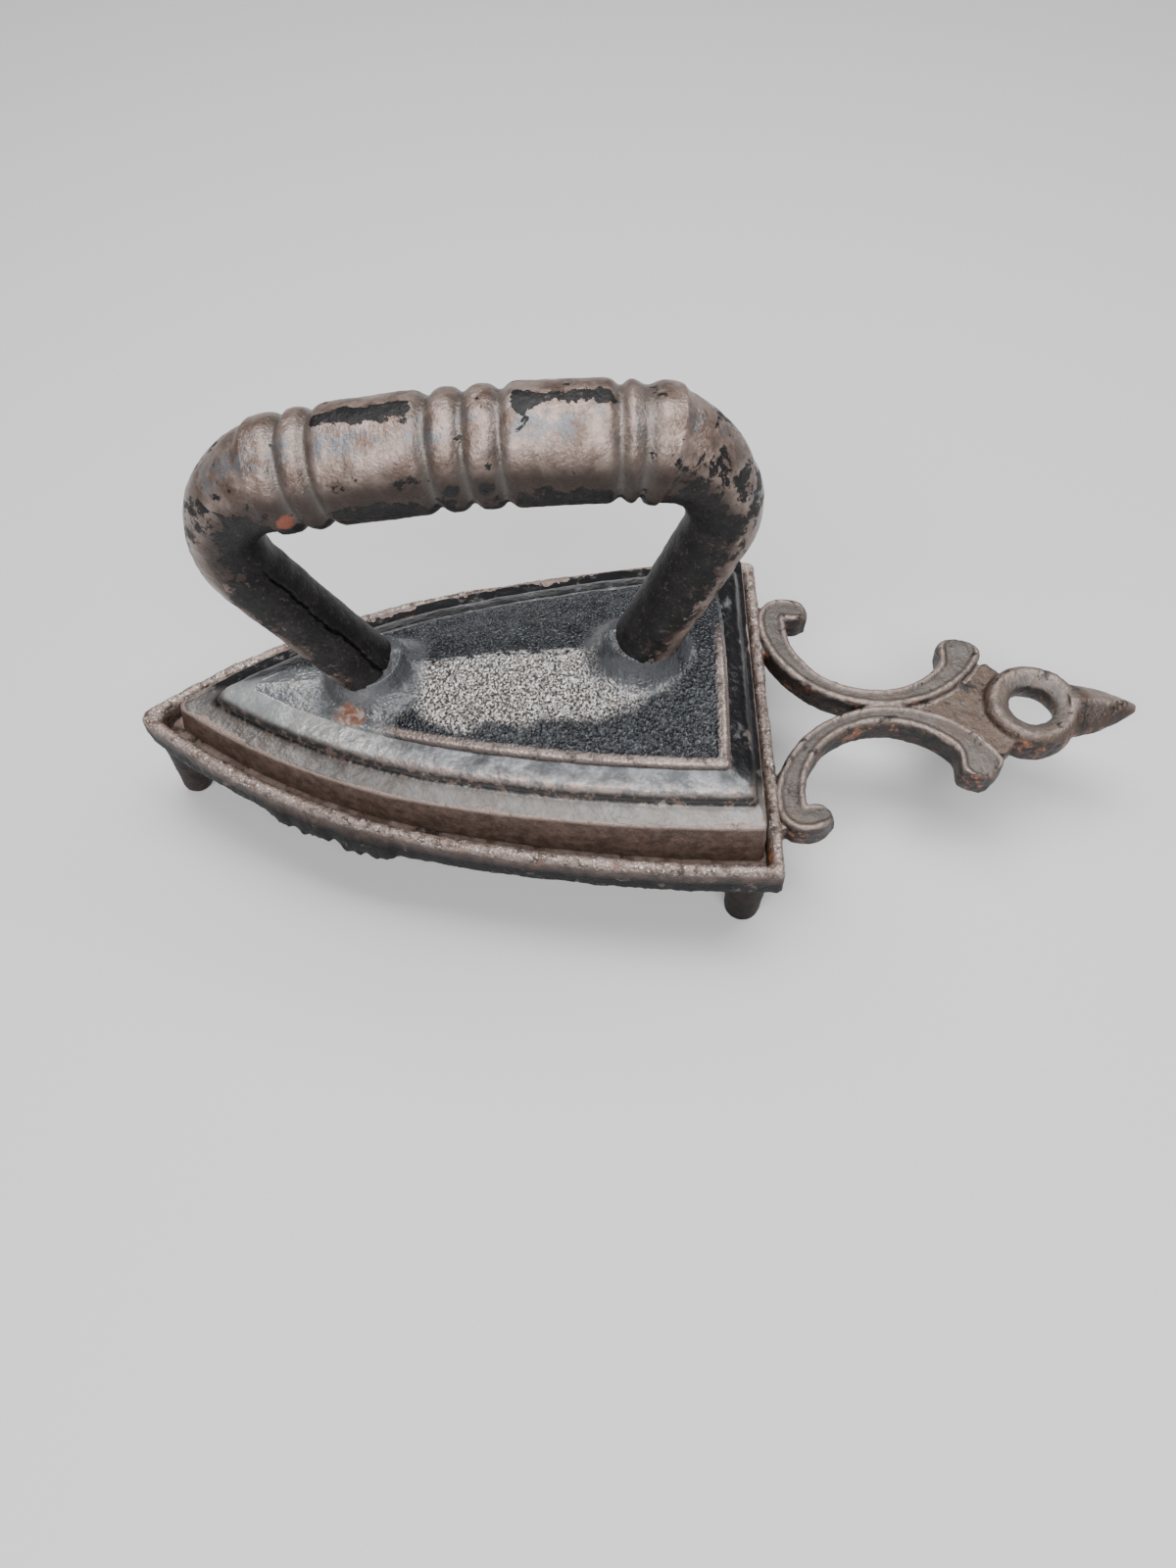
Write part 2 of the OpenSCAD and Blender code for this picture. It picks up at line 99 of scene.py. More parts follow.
# Iron. Its shoulder's lower edge climbs towards the heel
EDGE_HEIGHT = 43.2
EDGE_SLOPE = 0.0323
SOLE_INSET = 5.0
SOLE_HEEL_INSET = 3.2
SIDE_DRAFT = 1.2
HEEL_DRAFT = 0.5
SHOULDER_BASE = SOLE_INSET + SIDE_DRAFT
SHOULDER_WIDTH = 12.8
SHOULDER_HEEL_WIDTH = 8.8
CROWN_INSET = SHOULDER_BASE + SHOULDER_WIDTH
CROWN_LIFT = 7.2
HEEL_BASE = SOLE_HEEL_INSET + HEEL_DRAFT
CROWN_HEEL = HEEL - HEEL_BASE - SHOULDER_HEEL_WIDTH
RIDGE_RISE = 9.8
RIDGE_FLAT = MID + 22.0
RIDGE_RUN = 48.7
LEAST_RIDGE = 1.6
# The panel falls from the ridge partly straight and partly as a parabola
STRAIGHT_SHARE = 0.72
CURVED_SHARE = 0.28
CREASE_SOFTNESS = 0.0006
CROWN_ROWS = 300
CROWN_COLUMNS = 241
CROWN_NOSE_GAP = 0.15
BEAD_HEIGHT = 0.8
BEAD_PLACE = 1.5
BEAD_WIDTH = 1.6
LINE_DEPTH = 0.9
LINE_WIDTH = 0.5

# Handle tube
GRIP_R = 12.8
FRONT_LEG_R = 8.6
REAR_LEG_R = 8.2
GROOVE_DEPTH = 1.4
GROOVE_HALF_WIDTH = 1.5
SEAM_DEPTH = 1.1
SEAM_TURN = 146
ROOT_DEPTH = 3.5
TUBE_FACET = 3.6
SEAM_FACET = 1.0
GROOVES = (-38.4, -31.8, -7.4, 0, 7.6, 31.7, 36.6)
GRIP_OFFSET = 3.6
GRIP_FRONT_HALF = 45.5
GRIP_REAR_HALF = 42.7
BEND_MID = 0.56
BEND_MID_R = 9.1
BEND_END_R = 11.8
GRIP_STEP = 1.2
LEG_FILLET = 8.0
FILLET_PASSES = 3
# Angles in degrees between which the skin of the tube is finer, for the seam
SEAM_FACETS = (108, 140.4)
ARCH_R = 331.0
FRONT_BEND_R = 21.4
REAR_BEND_R = 20.5
FRONT_SLOPE = math.radians(90 + 29.4)
REAR_SLOPE = -math.radians(90 + 21.7)
FRONT_ARCH_ANGLE = math.radians(12.1)
REAR_ARCH_ANGLE = math.radians(1.3)
ARCH_TOP = np.array([MID + 41.4, 132.8])
FRONT_ROOT_Z = 52.1
REAR_ROOT_Z = 59.9

# Scroll handle
SCROLL_TOP = box_mm("scroll_left")[1][2]
SCROLL_X = HEEL + 34.5
SCROLL_STEPS = 110
RING_STEPS = 120
FINIAL_STEPS = 40
CLOSING_STEPS = 5
LUG_TOP = 32.5
WEB_TOP = 32.6
FUSE_VOXEL = 0.40
RING_X = (RING_LOW[0] + RING_HIGH[0]) / 2
TIP_X = box_mm("finial")[1][0]
FREE_END_ANGLE = 342
FREE_END_ROUND = 5.5
PINCH = 4.2
PINCH_ANGLE = 26
LEAST_SCROLL_WIDTH = 5.0
# Half width of the finial's leaf at distances beyond the ring's centre
LEAF = ((9.5, 12, 15, 18.5, 21.5, 24.5, 27.5, 29.5), (8.8, 8.3, 7.6, 6.7, 5.5, 4.1, 2.4, 1.1))

# Floor, and the point the lamps face
FLOOR_REACH = 3000
LIT_POINT = (0, 0, 60)


# ---- mesh helpers
def ramp(low, high, value):
    t = np.clip((np.asarray(value, float) - low) / (high - low), 0, 1)
    return t * t * (3 - 2 * t)


def bump(centre, width, value):
    return np.exp(-((np.asarray(value, float) - centre) / width) ** 2)


def fractal(points, size, octaves=3, seed=0.0):
    """Smooth noise of about -1 to 1 at each point, whose largest features are size millimetres wide."""
    shift = Vector((seed, seed * 1.7, -seed * 0.6))
    return np.array([noise.fractal(Vector(p) / size + shift, 1.0, 2.0, octaves) for p in points])


def new_object(name, points, faces, smooth=True):
    mesh = bpy.data.meshes.new(name)
    mesh.from_pydata([tuple(p) for p in np.asarray(points, float) * MM], [], faces)
    mesh.validate()
    mesh.update()
    if smooth:
        mesh.polygons.foreach_set("use_smooth", [True] * len(mesh.polygons))
    piece = bpy.data.objects.new(name, mesh)
    bpy.context.scene.collection.objects.link(piece)
    return piece


def at_height(flat, z):
    """Plan points raised to z, which is one height or a height for each."""
    return np.column_stack([flat, np.full(len(flat), z)])


def skin(name, rings, closed=False):
    """New object through rings of equal length, each clockwise seen from the next one, and its points."""
    rings = [np.asarray(r, float) for r in rings]
    n, m = len(rings[0]), len(rings)
    faces = []
    for k in range(m if closed else m - 1):
        a, b = k * n, ((k + 1) % m) * n
        faces += [(a + i, b + i, b + (i + 1) % n, a + (i + 1) % n) for i in range(n)]
    if not closed:
        faces.append(tuple(range(n)))
        faces.append(tuple(range(m * n - 1, (m - 1) * n - 1, -1)))
    points = np.concatenate(rings)
    return new_object(name, points, faces), points


def read_vertices(piece, field):
    values = np.zeros(len(piece.data.vertices) * 3)
    piece.data.vertices.foreach_get(field, values)
    return values.reshape(-1, 3)


def normals_of(piece):
    return read_vertices(piece, "normal")


def points_of(piece):
    return read_vertices(piece, "co") / MM


def set_points(piece, points):
    piece.data.vertices.foreach_set("co", (points * MM).ravel())
    piece.data.update()


def roughen(piece, layers, weight=None):
    """Moves each point along its normal by layers of (feature size, height), in millimetres."""
    points, normals = points_of(piece), normals_of(piece)
    lift = sum(height * fractal(points, size, 3, seed=size) for size, height in layers)
    if weight is not None:
        lift = lift * weight
    set_points(piece, points + normals * lift[:, None])


def paint(piece, **masks):
    """Stores masks from 0 to 1 on the points, for the materials."""
    for name, values in masks.items():
        attribute = piece.data.attributes.new(name, "FLOAT", "POINT")
        attribute.data.foreach_set("value", np.clip(np.asarray(values, float), 0, 1).astype(np.float32))


def place(piece, material, body, slot, *nodes):
    piece.data.materials.append(material)
    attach(piece, body)
    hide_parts(*nodes)


# ---- plan outline
def nose_x(inset):
    return NOSE_ARC[0] - math.sqrt((NOSE_SIDE_R - inset - NOSE_ROUND) ** 2 - NOSE_ARC[1] ** 2)


def arc_points(centre, radius, start, end, steps):
    angles = start + (end - start) * np.arange(1, steps + 1) / steps
    return np.stack([centre[0] + radius * np.cos(angles), centre[1] + radius * np.sin(angles)], 1)


def outline(inset, heel_inset, corner=CORNER_ROUND):
    """Plan points, clockwise from above, of the outline that lies inset from the fence's crest."""
    nose = (nose_x(inset), 0.0)
    join = math.atan2(-NOSE_ARC[1], nose[0] - NOSE_ARC[0])
    corner_x = HEEL - MID - heel_inset - corner
    corner_y = HEEL_ARC[1] + math.sqrt((HEEL_SIDE_R - inset - corner) ** 2 - (corner_x - HEEL_ARC[0]) ** 2)
    turn = math.atan2(corner_y - HEEL_ARC[1], corner_x - HEEL_ARC[0])
    heel_line = np.stack([np.full(HEEL_STEPS, corner_x + corner),
                          corner_y * (1 - np.arange(1, HEEL_STEPS + 1) / HEEL_STEPS)], 1)
    side = np.concatenate([
        [[nose[0] - NOSE_ROUND, 0.0]],
        arc_points(nose, NOSE_ROUND, math.pi, join, NOSE_STEPS),
        arc_points(NOSE_ARC, NOSE_SIDE_R - inset, join, math.pi / 2 + MID_ANGLE, NOSE_SIDE_STEPS),
        arc_points(HEEL_ARC, HEEL_SIDE_R - inset, math.pi / 2 + MID_ANGLE, turn, HEEL_SIDE_STEPS),
        arc_points((corner_x, corner_y), corner, turn, 0, CORNER_STEPS),
        heel_line,
    ])
    mirrored = side[-2:0:-1] * [1, -1]
    return np.concatenate([side, mirrored]) + [MID, 0]


def half_width(x, inset):
    """Half width at x of the outline that lies inset from the crest."""
    x = np.asarray(x, float) - MID
    nose_side, heel_side = (arc[1] + np.sqrt(np.maximum((radius - inset) ** 2 - (x - arc[0]) ** 2, 0))
                            for arc, radius in ((NOSE_ARC, NOSE_SIDE_R), (HEEL_ARC, HEEL_SIDE_R)))
    return np.where(x < 0, nose_side, heel_side)


def edge_z(x):
    return EDGE_HEIGHT + EDGE_SLOPE * (np.asarray(x, float) - MID)


def rounded(profile, steps=4):
    """Resamples a profile's polyline with a smooth curve through its points."""
    profile = np.asarray(profile, float)
    padded = np.concatenate([[2 * profile[0] - profile[1]], profile, [2 * profile[-1] - profile[-2]]])
    out = []
    for i in range(1, len(padded) - 2):
        p0, p1, p2, p3 = padded[i - 1:i + 3]
        for t in np.arange(steps) / steps:
            out.append(0.5 * (2 * p1 + (p2 - p0) * t + (2 * p0 - 5 * p1 + 4 * p2 - p3) * t ** 2
                              + (3 * p1 - p0 - 3 * p2 + p3) * t ** 3))
    return np.array(out + [profile[-1]])


# ---- shader helpers
class Nodes:
    """Builds one material in object coordinates, in millimetres. colour is what has been laid on so far."""

    def __init__(self, name):
        self.material = bpy.data.materials.new(name)
        self.material.use_nodes = True
        self.tree = self.material.node_tree
        self.shader = self.tree.nodes["Principled BSDF"]
        coordinates = self.node("TexCoord", "Object")
        self.place = self.node("VectorMath", "Vector", {0: coordinates, "Scale": 1 / MM}, operation="SCALE")
        self.colour = None

    def set(self, socket, value):
        if isinstance(value, bpy.types.NodeSocket):
            self.tree.links.new(value, socket)
        elif socket.type == "RGBA":
            socket.default_value = (*value, 1.0)
        else:
            socket.default_value = value

    def node(self, kind, output, inputs=None, **settings):
        """Adds a node with its settings and inputs, and returns one of its outputs."""
        node = self.tree.nodes.new("ShaderNode" + kind)
        for name, value in settings.items():
            setattr(node, name, value)
        for key, value in (inputs or {}).items():
            self.set(node.inputs[key], value)
        return node.outputs[output]

    def math(self, operation, a, b, c=0.0):
        return self.node("Math", 0, {0: a, 1: b, 2: c}, operation=operation)

    def noise(self, size, detail, rough=0.55, distortion=0.0, seed=0.0):
        """Noise from 0 to 1, whose features are about size millimetres wide."""
        return self.node("TexNoise", "Fac", {"Vector": self.place, "Scale": 1 / size, "Detail": detail,
                                             "Roughness": rough, "Distortion": distortion, "W": seed},
                         noise_dimensions="4D")

    def cells(self, size, smooth):
        """Distance from the middles of rounded cells about size millimetres wide."""
        return self.node("TexVoronoi", "Distance",
                         {"Vector": self.place, "Scale": 1 / size, "Smoothness": smooth}, feature="SMOOTH_F1")

    def step(self, value, low, high):
        """0 below low, 1 above high, smooth between."""
        return self.node("MapRange", "Result", {"Value": value, "From Min": low, "From Max": high},
                         interpolation_type="SMOOTHSTEP")

    def patches(self, low, high, size, detail, rough=0.55, seed=0.0, within=None):
        """Ragged patches, inside a mask if one is named: 0 where noise is below low, 1 above high."""
        if within is None:
            return self.step(self.noise(size, detail, rough, seed=seed), low, high)
        return self.multiply(self.mask(within), self.patches(low, high, size, detail, rough, seed))

    def mix(self, amount, a, b):
        return self.blend(amount, a, b, "RGBA")

    def cover(self, where, colour, strength=1.0):
        """Lays a colour over the material where a mask is 1."""
        if strength < 1:
            where = self.multiply(where, strength)
        self.colour = self.mix(where, self.colour, colour)

    def blend(self, amount, a, b, kind="FLOAT"):
        """Mixes numbers, or colours as kind RGBA."""
        return self.node("Mix", "Result", {"Factor": amount, "A": a, "B": b}, data_type=kind)

    def mask(self, name):
        return self.node("Attribute", "Fac", attribute_name=name)

    def multiply(self, *values):
        result = values[0]
        for value in values[1:]:
            result = self.math("MULTIPLY", result, value)
        return result

    def most(self, a, b):
        return self.math("MAXIMUM", a, b)

    def invert(self, value):
        return self.math("SUBTRACT", 1.0, value)

    def spot(self, x, y, z, size, ragged, seed):
        """A ragged spot about size millimetres across at a place in the part's frame."""
        away = self.node("VectorMath", "Value", {0: self.place, 1: (x, y, z)}, operation="DISTANCE")
        reach = size * ragged
        wobble = self.math("MULTIPLY_ADD", self.noise(size * 0.6, 3, seed=seed), reach, -reach / 2)
        distance = self.math("ADD", away, wobble)
        return self.invert(self.step(distance, size * 0.32, size * 0.5))

    def finish(self, metallic, roughness, height, depth, coat=0.0, specular=0.5):
        """Links the shader. depth is the bump's height in millimetres."""
        for name, value in (("Specular IOR Level", specular), ("Base Color", self.colour),
                            ("Metallic", metallic), ("Roughness", roughness),
                            ("Coat Weight", coat), ("Coat Roughness", COAT_ROUGHNESS)):
            self.set(self.shader.inputs[name], value)
        bumps = self.node("Bump", "Normal", {"Strength": 1.0, "Distance": depth * MM, "Height": height})
        self.set(self.shader.inputs["Normal"], bumps)
        return self.material


BLACK = (0.007, 0.007, 0.008)
BROWN = (0.100, 0.066, 0.052)
PALE_BROWN = (0.27, 0.205, 0.178)
BLUE_GREY = (0.110, 0.122, 0.138)
GREY_GREEN = (0.075, 0.068, 0.062)
DARK_BROWN = (0.034, 0.021, 0.016)
WARM_GREY = (0.115, 0.098, 0.088)
SILVER = (0.50, 0.475, 0.455)
RUST = (0.17, 0.066, 0.036)
ORANGE = (0.40, 0.14, 0.035)
RED = (0.24, 0.070, 0.042)
RED_BROWN = (0.18, 0.085, 0.058)
EARTH = (0.12, 0.082, 0.060)
FLANK_DARK, FLANK_PALE = (0.050, 0.031, 0.024), (0.12, 0.078, 0.062)
SATIN_GREY = (0.155, 0.150, 0.146)
LEDGE_DARK, LEDGE_PALE = (0.060, 0.062, 0.068), (0.165, 0.168, 0.178)
BARE_DARK, BARE_PALE = (0.34, 0.35, 0.36), (0.50, 0.50, 0.49)
GLOSS_DARK, GLOSS_PALE = (0.005, 0.006, 0.008), (0.018, 0.020, 0.024)
WORN_BASE = (0.060, 0.052, 0.047)
BEAD_BROWN = (0.16, 0.13, 0.12)
NOSE_DARK, NOSE_PALE = (0.17, 0.18, 0.19), (0.27, 0.265, 0.26)
COVE_GREY = (0.075, 0.078, 0.085)
# painted shade colours for the tube's low near side
PAINTED_SHADE_DARK, PAINTED_SHADE_PALE = (0.008, 0.005, 0.004), (0.030, 0.019, 0.015)
PAINT_DARK, PAINT_PALE = (0.004, 0.004, 0.005), (0.013, 0.012, 0.012)
SEAM_BLACK = (0.001, 0.001, 0.001)
# feet colours far darker than the deck they are cast with: painted shade under the deck
SHADED_REAR_FOOT_DARK, SHADED_REAR_FOOT_PALE = (0.006, 0.004, 0.0035), (0.022, 0.015, 0.012)
SHADED_FRONT_FOOT_DARK, SHADED_FRONT_FOOT_PALE = (0.014, 0.010, 0.009), (0.045, 0.032, 0.027)
FLOOR_GREY = (0.50, 0.50, 0.505)
DAYLIGHT = (0.93, 0.96, 1.0)
COAT_ROUGHNESS = 0.25


def cast_grain(n, fine=0.7, coarse=3.0):
    """Height of a sand-cast surface."""
    return n.math("MULTIPLY_ADD", n.noise(fine, 5, 0.6), 0.6, n.math("MULTIPLY", n.noise(coarse, 3), 0.4))


def fence_material():
    n = Nodes("worn_fence")
    tone = n.noise(4, 6, 0.7, seed=2)
    n.colour = n.mix(n.step(tone, 0.38, 0.66), DARK_BROWN, BROWN)
    rubbed = n.patches(0.40, 0.56, 2.2, 7, 0.78, seed=4, within="crest")
    n.cover(rubbed, PALE_BROWN)
    n.cover(n.patches(0.55, 0.62, 0.8, 4, 0.7, seed=5, within="crest"), SILVER)
    black = n.patches(0.38, 0.42, 6, 6, 0.72, seed=6, within="under")
    n.cover(black, BLACK)
    rust = n.multiply(n.patches(0.60, 0.67, 8, 6, 0.72, seed=9), n.invert(black))
    n.cover(rust, RUST, 0.75)
    corners = n.most(n.spot(NOSE_TIP + 12, -2, DECK_TOP + 3, 13, 0.8, 10),
                     n.spot(HEEL - 6, -HALF_WIDTH + 5, DECK_TOP + 3, 11, 0.8, 11))
    n.cover(n.multiply(corners, n.patches(0.50, 0.58, 2, 4, 0.7, seed=13)), ORANGE)
    metallic = n.multiply(n.blend(rubbed, 0.2, 0.55), n.invert(n.most(rust, black)))
    roughness = n.blend(rubbed, 0.52, 0.36)
    return n.finish(metallic, roughness, cast_grain(n), 0.75, specular=n.blend(black, 0.5, 0.15))


def plain_cast_material(name, dark, pale, rust_from):
    n = Nodes(name)
    tone = n.noise(5, 5, 0.65, seed=12)
    n.colour = n.mix(n.step(tone, 0.35, 0.7), dark, pale)
    rust = n.patches(rust_from, rust_from + 0.08, 6, 5, 0.7, seed=15)
    n.cover(rust, RUST, 0.85)
    black = n.patches(0.55, 0.60, 8, 5, 0.7, seed=18)
    n.cover(black, BLACK, 0.8)
    return n.finish(n.blend(rust, 0.35, 0.0), n.blend(tone, 0.5, 0.72), cast_grain(n), 0.35, specular=0.2)


def scroll_material():
    n = Nodes("worn_scroll")
    tone = n.noise(4, 6, 0.7, seed=21)
    n.colour = n.mix(n.step(tone, 0.36, 0.68), GREY_GREEN, WARM_GREY)
    n.cover(n.patches(0.5, 0.62, 7, 5, 0.65, seed=23), BROWN, 0.6)
    rubbed = n.patches(0.36, 0.54, 2.5, 6, 0.75, seed=22, within="bead")
    n.cover(rubbed, PALE_BROWN, 0.7)
    n.cover(n.mask("line"), DARK_BROWN, 0.6)
    # darker brown in the web's hollows and round the ring's foot: dirt and painted shade
    earthy = n.patches(0.28, 0.50, 5, 6, 0.7, seed=25, within="earthy")
    n.cover(earthy, n.mix(tone, DARK_BROWN, EARTH))
    # side: black and dark brown on the side walls, and painted shade on the near side of the leaf
    side = n.mask("side")
    n.cover(side, n.mix(n.patches(0.42, 0.6, 4, 6, 0.72, seed=24), BLACK, DARK_BROWN))
    rust = n.multiply(side, n.patches(0.52, 0.60, 6, 6, 0.75, seed=27))
    n.cover(rust, n.mix(n.patches(0.56, 0.64, 1.5, 4, seed=28), RUST, ORANGE))
    black = n.patches(0.56, 0.61, 6, 6, 0.72, seed=30)
    n.cover(black, BLACK, 0.85)
    metallic = n.multiply(n.blend(rubbed, 0.30, 0.55), n.invert(rust))
    roughness = n.blend(rubbed, 0.46, 0.36)
    return n.finish(metallic, roughness, cast_grain(n), 0.60)


def flank_material():
    n = Nodes("rusted_flank")
    tone = n.noise(3, 6, 0.72, seed=33)
    n.colour = n.mix(n.step(tone, 0.36, 0.66), FLANK_DARK, FLANK_PALE)
    n.cover(n.patches(0.58, 0.68, 7, 5, 0.7, seed=35), RED_BROWN, 0.5)
    n.cover(n.patches(0.60, 0.66, 0.8, 4, 0.7, seed=36), PALE_BROWN, 0.5)
    edge = n.patches(0.30, 0.48, 2.5, 5, 0.7, seed=37, within="crest")
    n.cover(edge, PALE_BROWN, 0.8)
    return n.finish(n.blend(edge, 0.25, 0.5), n.blend(edge, 0.48, 0.36), cast_grain(n, 0.5, 2.5), 0.55)


def shoulder_material():
    """Satin lower ledge, dark riser with a rubbed edge, and an upper ledge that pales towards the nose."""
    n = Nodes("rubbed_shoulder")
    tone = n.noise(5, 6, 0.7, seed=41)
    low = n.mix(n.step(tone, 0.36, 0.68), WARM_GREY, SATIN_GREY)
    high = n.mix(n.patches(0.40, 0.62, 7, 6, 0.7, seed=42), LEDGE_DARK, LEDGE_PALE)
    pale = n.mask("pale")
    high = n.mix(n.multiply(pale, 0.9), high, n.mix(n.step(tone, 0.4, 0.65), BARE_DARK, BARE_PALE))
    pebbled = n.patches(0.44, 0.52, 1.1, 4, 0.7, seed=45, within="patch")
    high = n.mix(pebbled, high, SILVER)
    n.colour = n.mix(n.mask("upper"), low, high)
    riser = n.patches(0.38, 0.44, 4, 7, 0.75, seed=43, within="riser")
    n.cover(riser, n.mix(n.patches(0.50, 0.56, 2.5, 6, 0.75, seed=44), BLACK, BROWN))
    rubbed = n.patches(0.42, 0.52, 3, 6, 0.72, seed=47, within="rubbed")
    n.cover(rubbed, PALE_BROWN, 0.75)
    n.cover(n.mask("corner"), n.mix(tone, PALE_BROWN, SILVER), 0.8)
    dark = n.mask("dark")
    n.cover(n.multiply(dark, n.patches(0.32, 0.46, 5, 6, 0.7, seed=48)), BLACK)
    rust = n.multiply(n.patches(0.64, 0.70, 5, 6, 0.75, seed=46), n.blend(pale, 0.8, 0.25))
    n.cover(rust, RUST, 0.7)
    n.cover(n.spot(MID - 47, -19, edge_z(MID - 47) + 6.5, 6, 0.8, 49), RUST)
    metallic = n.multiply(n.blend(n.most(pale, rubbed), 0.30, 0.6), n.invert(rust))
    roughness = n.blend(riser, 0.34, 0.42)
    grain = n.math("MULTIPLY_ADD", n.noise(0.9, 4, 0.6), 0.5, n.math("MULTIPLY", n.noise(3, 3), 0.5))
    return n.finish(metallic, roughness, grain, 0.34, coat=0.15)


def crown_material():
    """Glossy black pebbled paint, worn to bare metal along the ridge's near side."""
    n = Nodes("pebbled_crown")
    n.colour = n.mix(n.patches(0.35, 0.7, 7, 5, 0.6, seed=51), GLOSS_DARK, GLOSS_PALE)
    # sparse blue-grey specks: painted glints on the pebbled black paint
    n.cover(n.patches(0.56, 0.66, 0.7, 3, 0.6, seed=62), BLUE_GREY, 0.6)
    pebble = n.cells(0.8, 0.55)
    ragged = n.math("MULTIPLY_ADD", n.noise(9, 7, 0.72, seed=52), 1.5, -0.75)
    worn = n.step(n.math("ADD", n.mask("worn"), ragged), 0.30, 0.72)
    tops = n.multiply(worn, n.patches(0.46, 0.56, 0.55, 3, 0.6, seed=54))
    n.cover(worn, WORN_BASE)
    n.cover(tops, SILVER)
    bead = n.patches(0.26, 0.50, 3, 5, 0.7, seed=53, within="bead")
    n.cover(bead, n.mix(n.noise(4, 5, 0.7, seed=50), BEAD_BROWN, PALE_BROWN), 0.95)
    # line: painted shadow, black along the groove under the bead at the panel's near edge
    n.cover(n.mask("line"), BLACK, 0.9)
    ridge = n.patches(0.46, 0.58, 1.6, 5, 0.7, seed=55, within="ridge")
    n.cover(ridge, SILVER)
    nose = n.mask("nose")
    pale = n.mix(n.patches(0.35, 0.7, 5, 5, 0.6, seed=57), NOSE_DARK, NOSE_PALE)
    n.cover(nose, pale)
    cove = n.patches(0.25, 0.5, 6, 4, 0.6, seed=56, within="cove")
    n.cover(cove, COVE_GREY, 0.7)
    front, rear = axis_at(0.0), axis_at(TUBE.end)
    rust = n.most(n.spot(front[0] - 7, -11, front[1] - 3, 11, 0.7, 58),
                  n.spot(rear[0] - 1, -11, rear[1] - 3, 6, 0.8, 59))
    n.cover(rust, n.mix(n.patches(0.45, 0.6, 2, 4, seed=60), RUST, PALE_BROWN), 0.85)
    smooth = n.most(n.most(nose, bead), cove)
    grain = n.math("MULTIPLY", n.noise(0.6, 4), 0.3)
    height = n.math("MULTIPLY_ADD", pebble, n.blend(smooth, 1.0, 0.15), grain)
    metallic = n.multiply(n.blend(n.most(bead, n.most(worn, nose)), 0.15, 0.6), n.invert(rust))
    return n.finish(metallic, n.blend(worn, 0.27, 0.33), height, 0.6, coat=0.06,
                    specular=n.blend(worn, 0.42, 0.5))


def tube_material():
    """Bare brown grip with flakes of black paint, black legs chipped on their outer side, and painted shade
    over the low near side.
    """
    n = Nodes("worn_tube")
    tone = n.noise(5, 6, 0.7, seed=61)
    bare = n.mix(n.step(tone, 0.36, 0.66), BROWN, PALE_BROWN)
    # low: painted shade, a dark brown laid over the tube's low near side, where metal and specular are dulled
    # too
    low = n.mask("low")
    bare = n.mix(n.multiply(low, 0.95), bare, n.mix(tone, PAINTED_SHADE_DARK, PAINTED_SHADE_PALE))
    blue = n.patches(0.48, 0.56, 6, 6, 0.7, seed=63, within="high")
    bare = n.mix(n.multiply(blue, 0.8), bare, BLUE_GREY)
    bare = n.mix(n.multiply(n.mask("groove"), 0.7), bare, GREY_GREEN)
    paint_tone = n.mix(n.patches(0.4, 0.7, 5, 5, 0.65, seed=65), PAINT_DARK, PAINT_PALE)
    flakes = n.math("SUBTRACT", n.noise(6, 8, 0.70, 0.3, seed=67), n.mask("bias"))
    chipped = n.step(flakes, 0.0, 0.012)
    n.colour = n.mix(chipped, paint_tone, bare)
    red = surface_at(TUBE.start + 5, 102)
    n.cover(n.spot(*red, 5, 0.8, 69), RED, 0.7)
    for s, seed in ((TUBE.middle - 3.4, 71), (TUBE.middle + 4.0, 72)):
        n.cover(n.spot(*surface_at(s, 88), 4.2, 0.7, seed), BLACK)
    speck = n.multiply(n.invert(chipped), n.patches(0.56, 0.66, 1.0, 5, 0.78, seed=73))
    n.cover(speck, BROWN, 0.7)
    chips = n.patches(0.58, 0.60, 2.6, 5, 0.62, seed=74, within="chips")
    n.cover(chips, n.mix(n.step(tone, 0.4, 0.6), BROWN, PALE_BROWN))
    n.cover(n.mask("seam"), SEAM_BLACK, 0.98)
    metallic = n.multiply(n.blend(chipped, 0.0, 0.55), n.invert(low))
    roughness = n.blend(chipped, 0.46, 0.31)
    height = n.math("MULTIPLY_ADD", chipped, -0.5, cast_grain(n, 0.8, 4))
    shine = n.blend(n.multiply(chipped, n.invert(low)), 0.22, 0.5)
    return n.finish(metallic, roughness, height, 0.50, specular=shine)


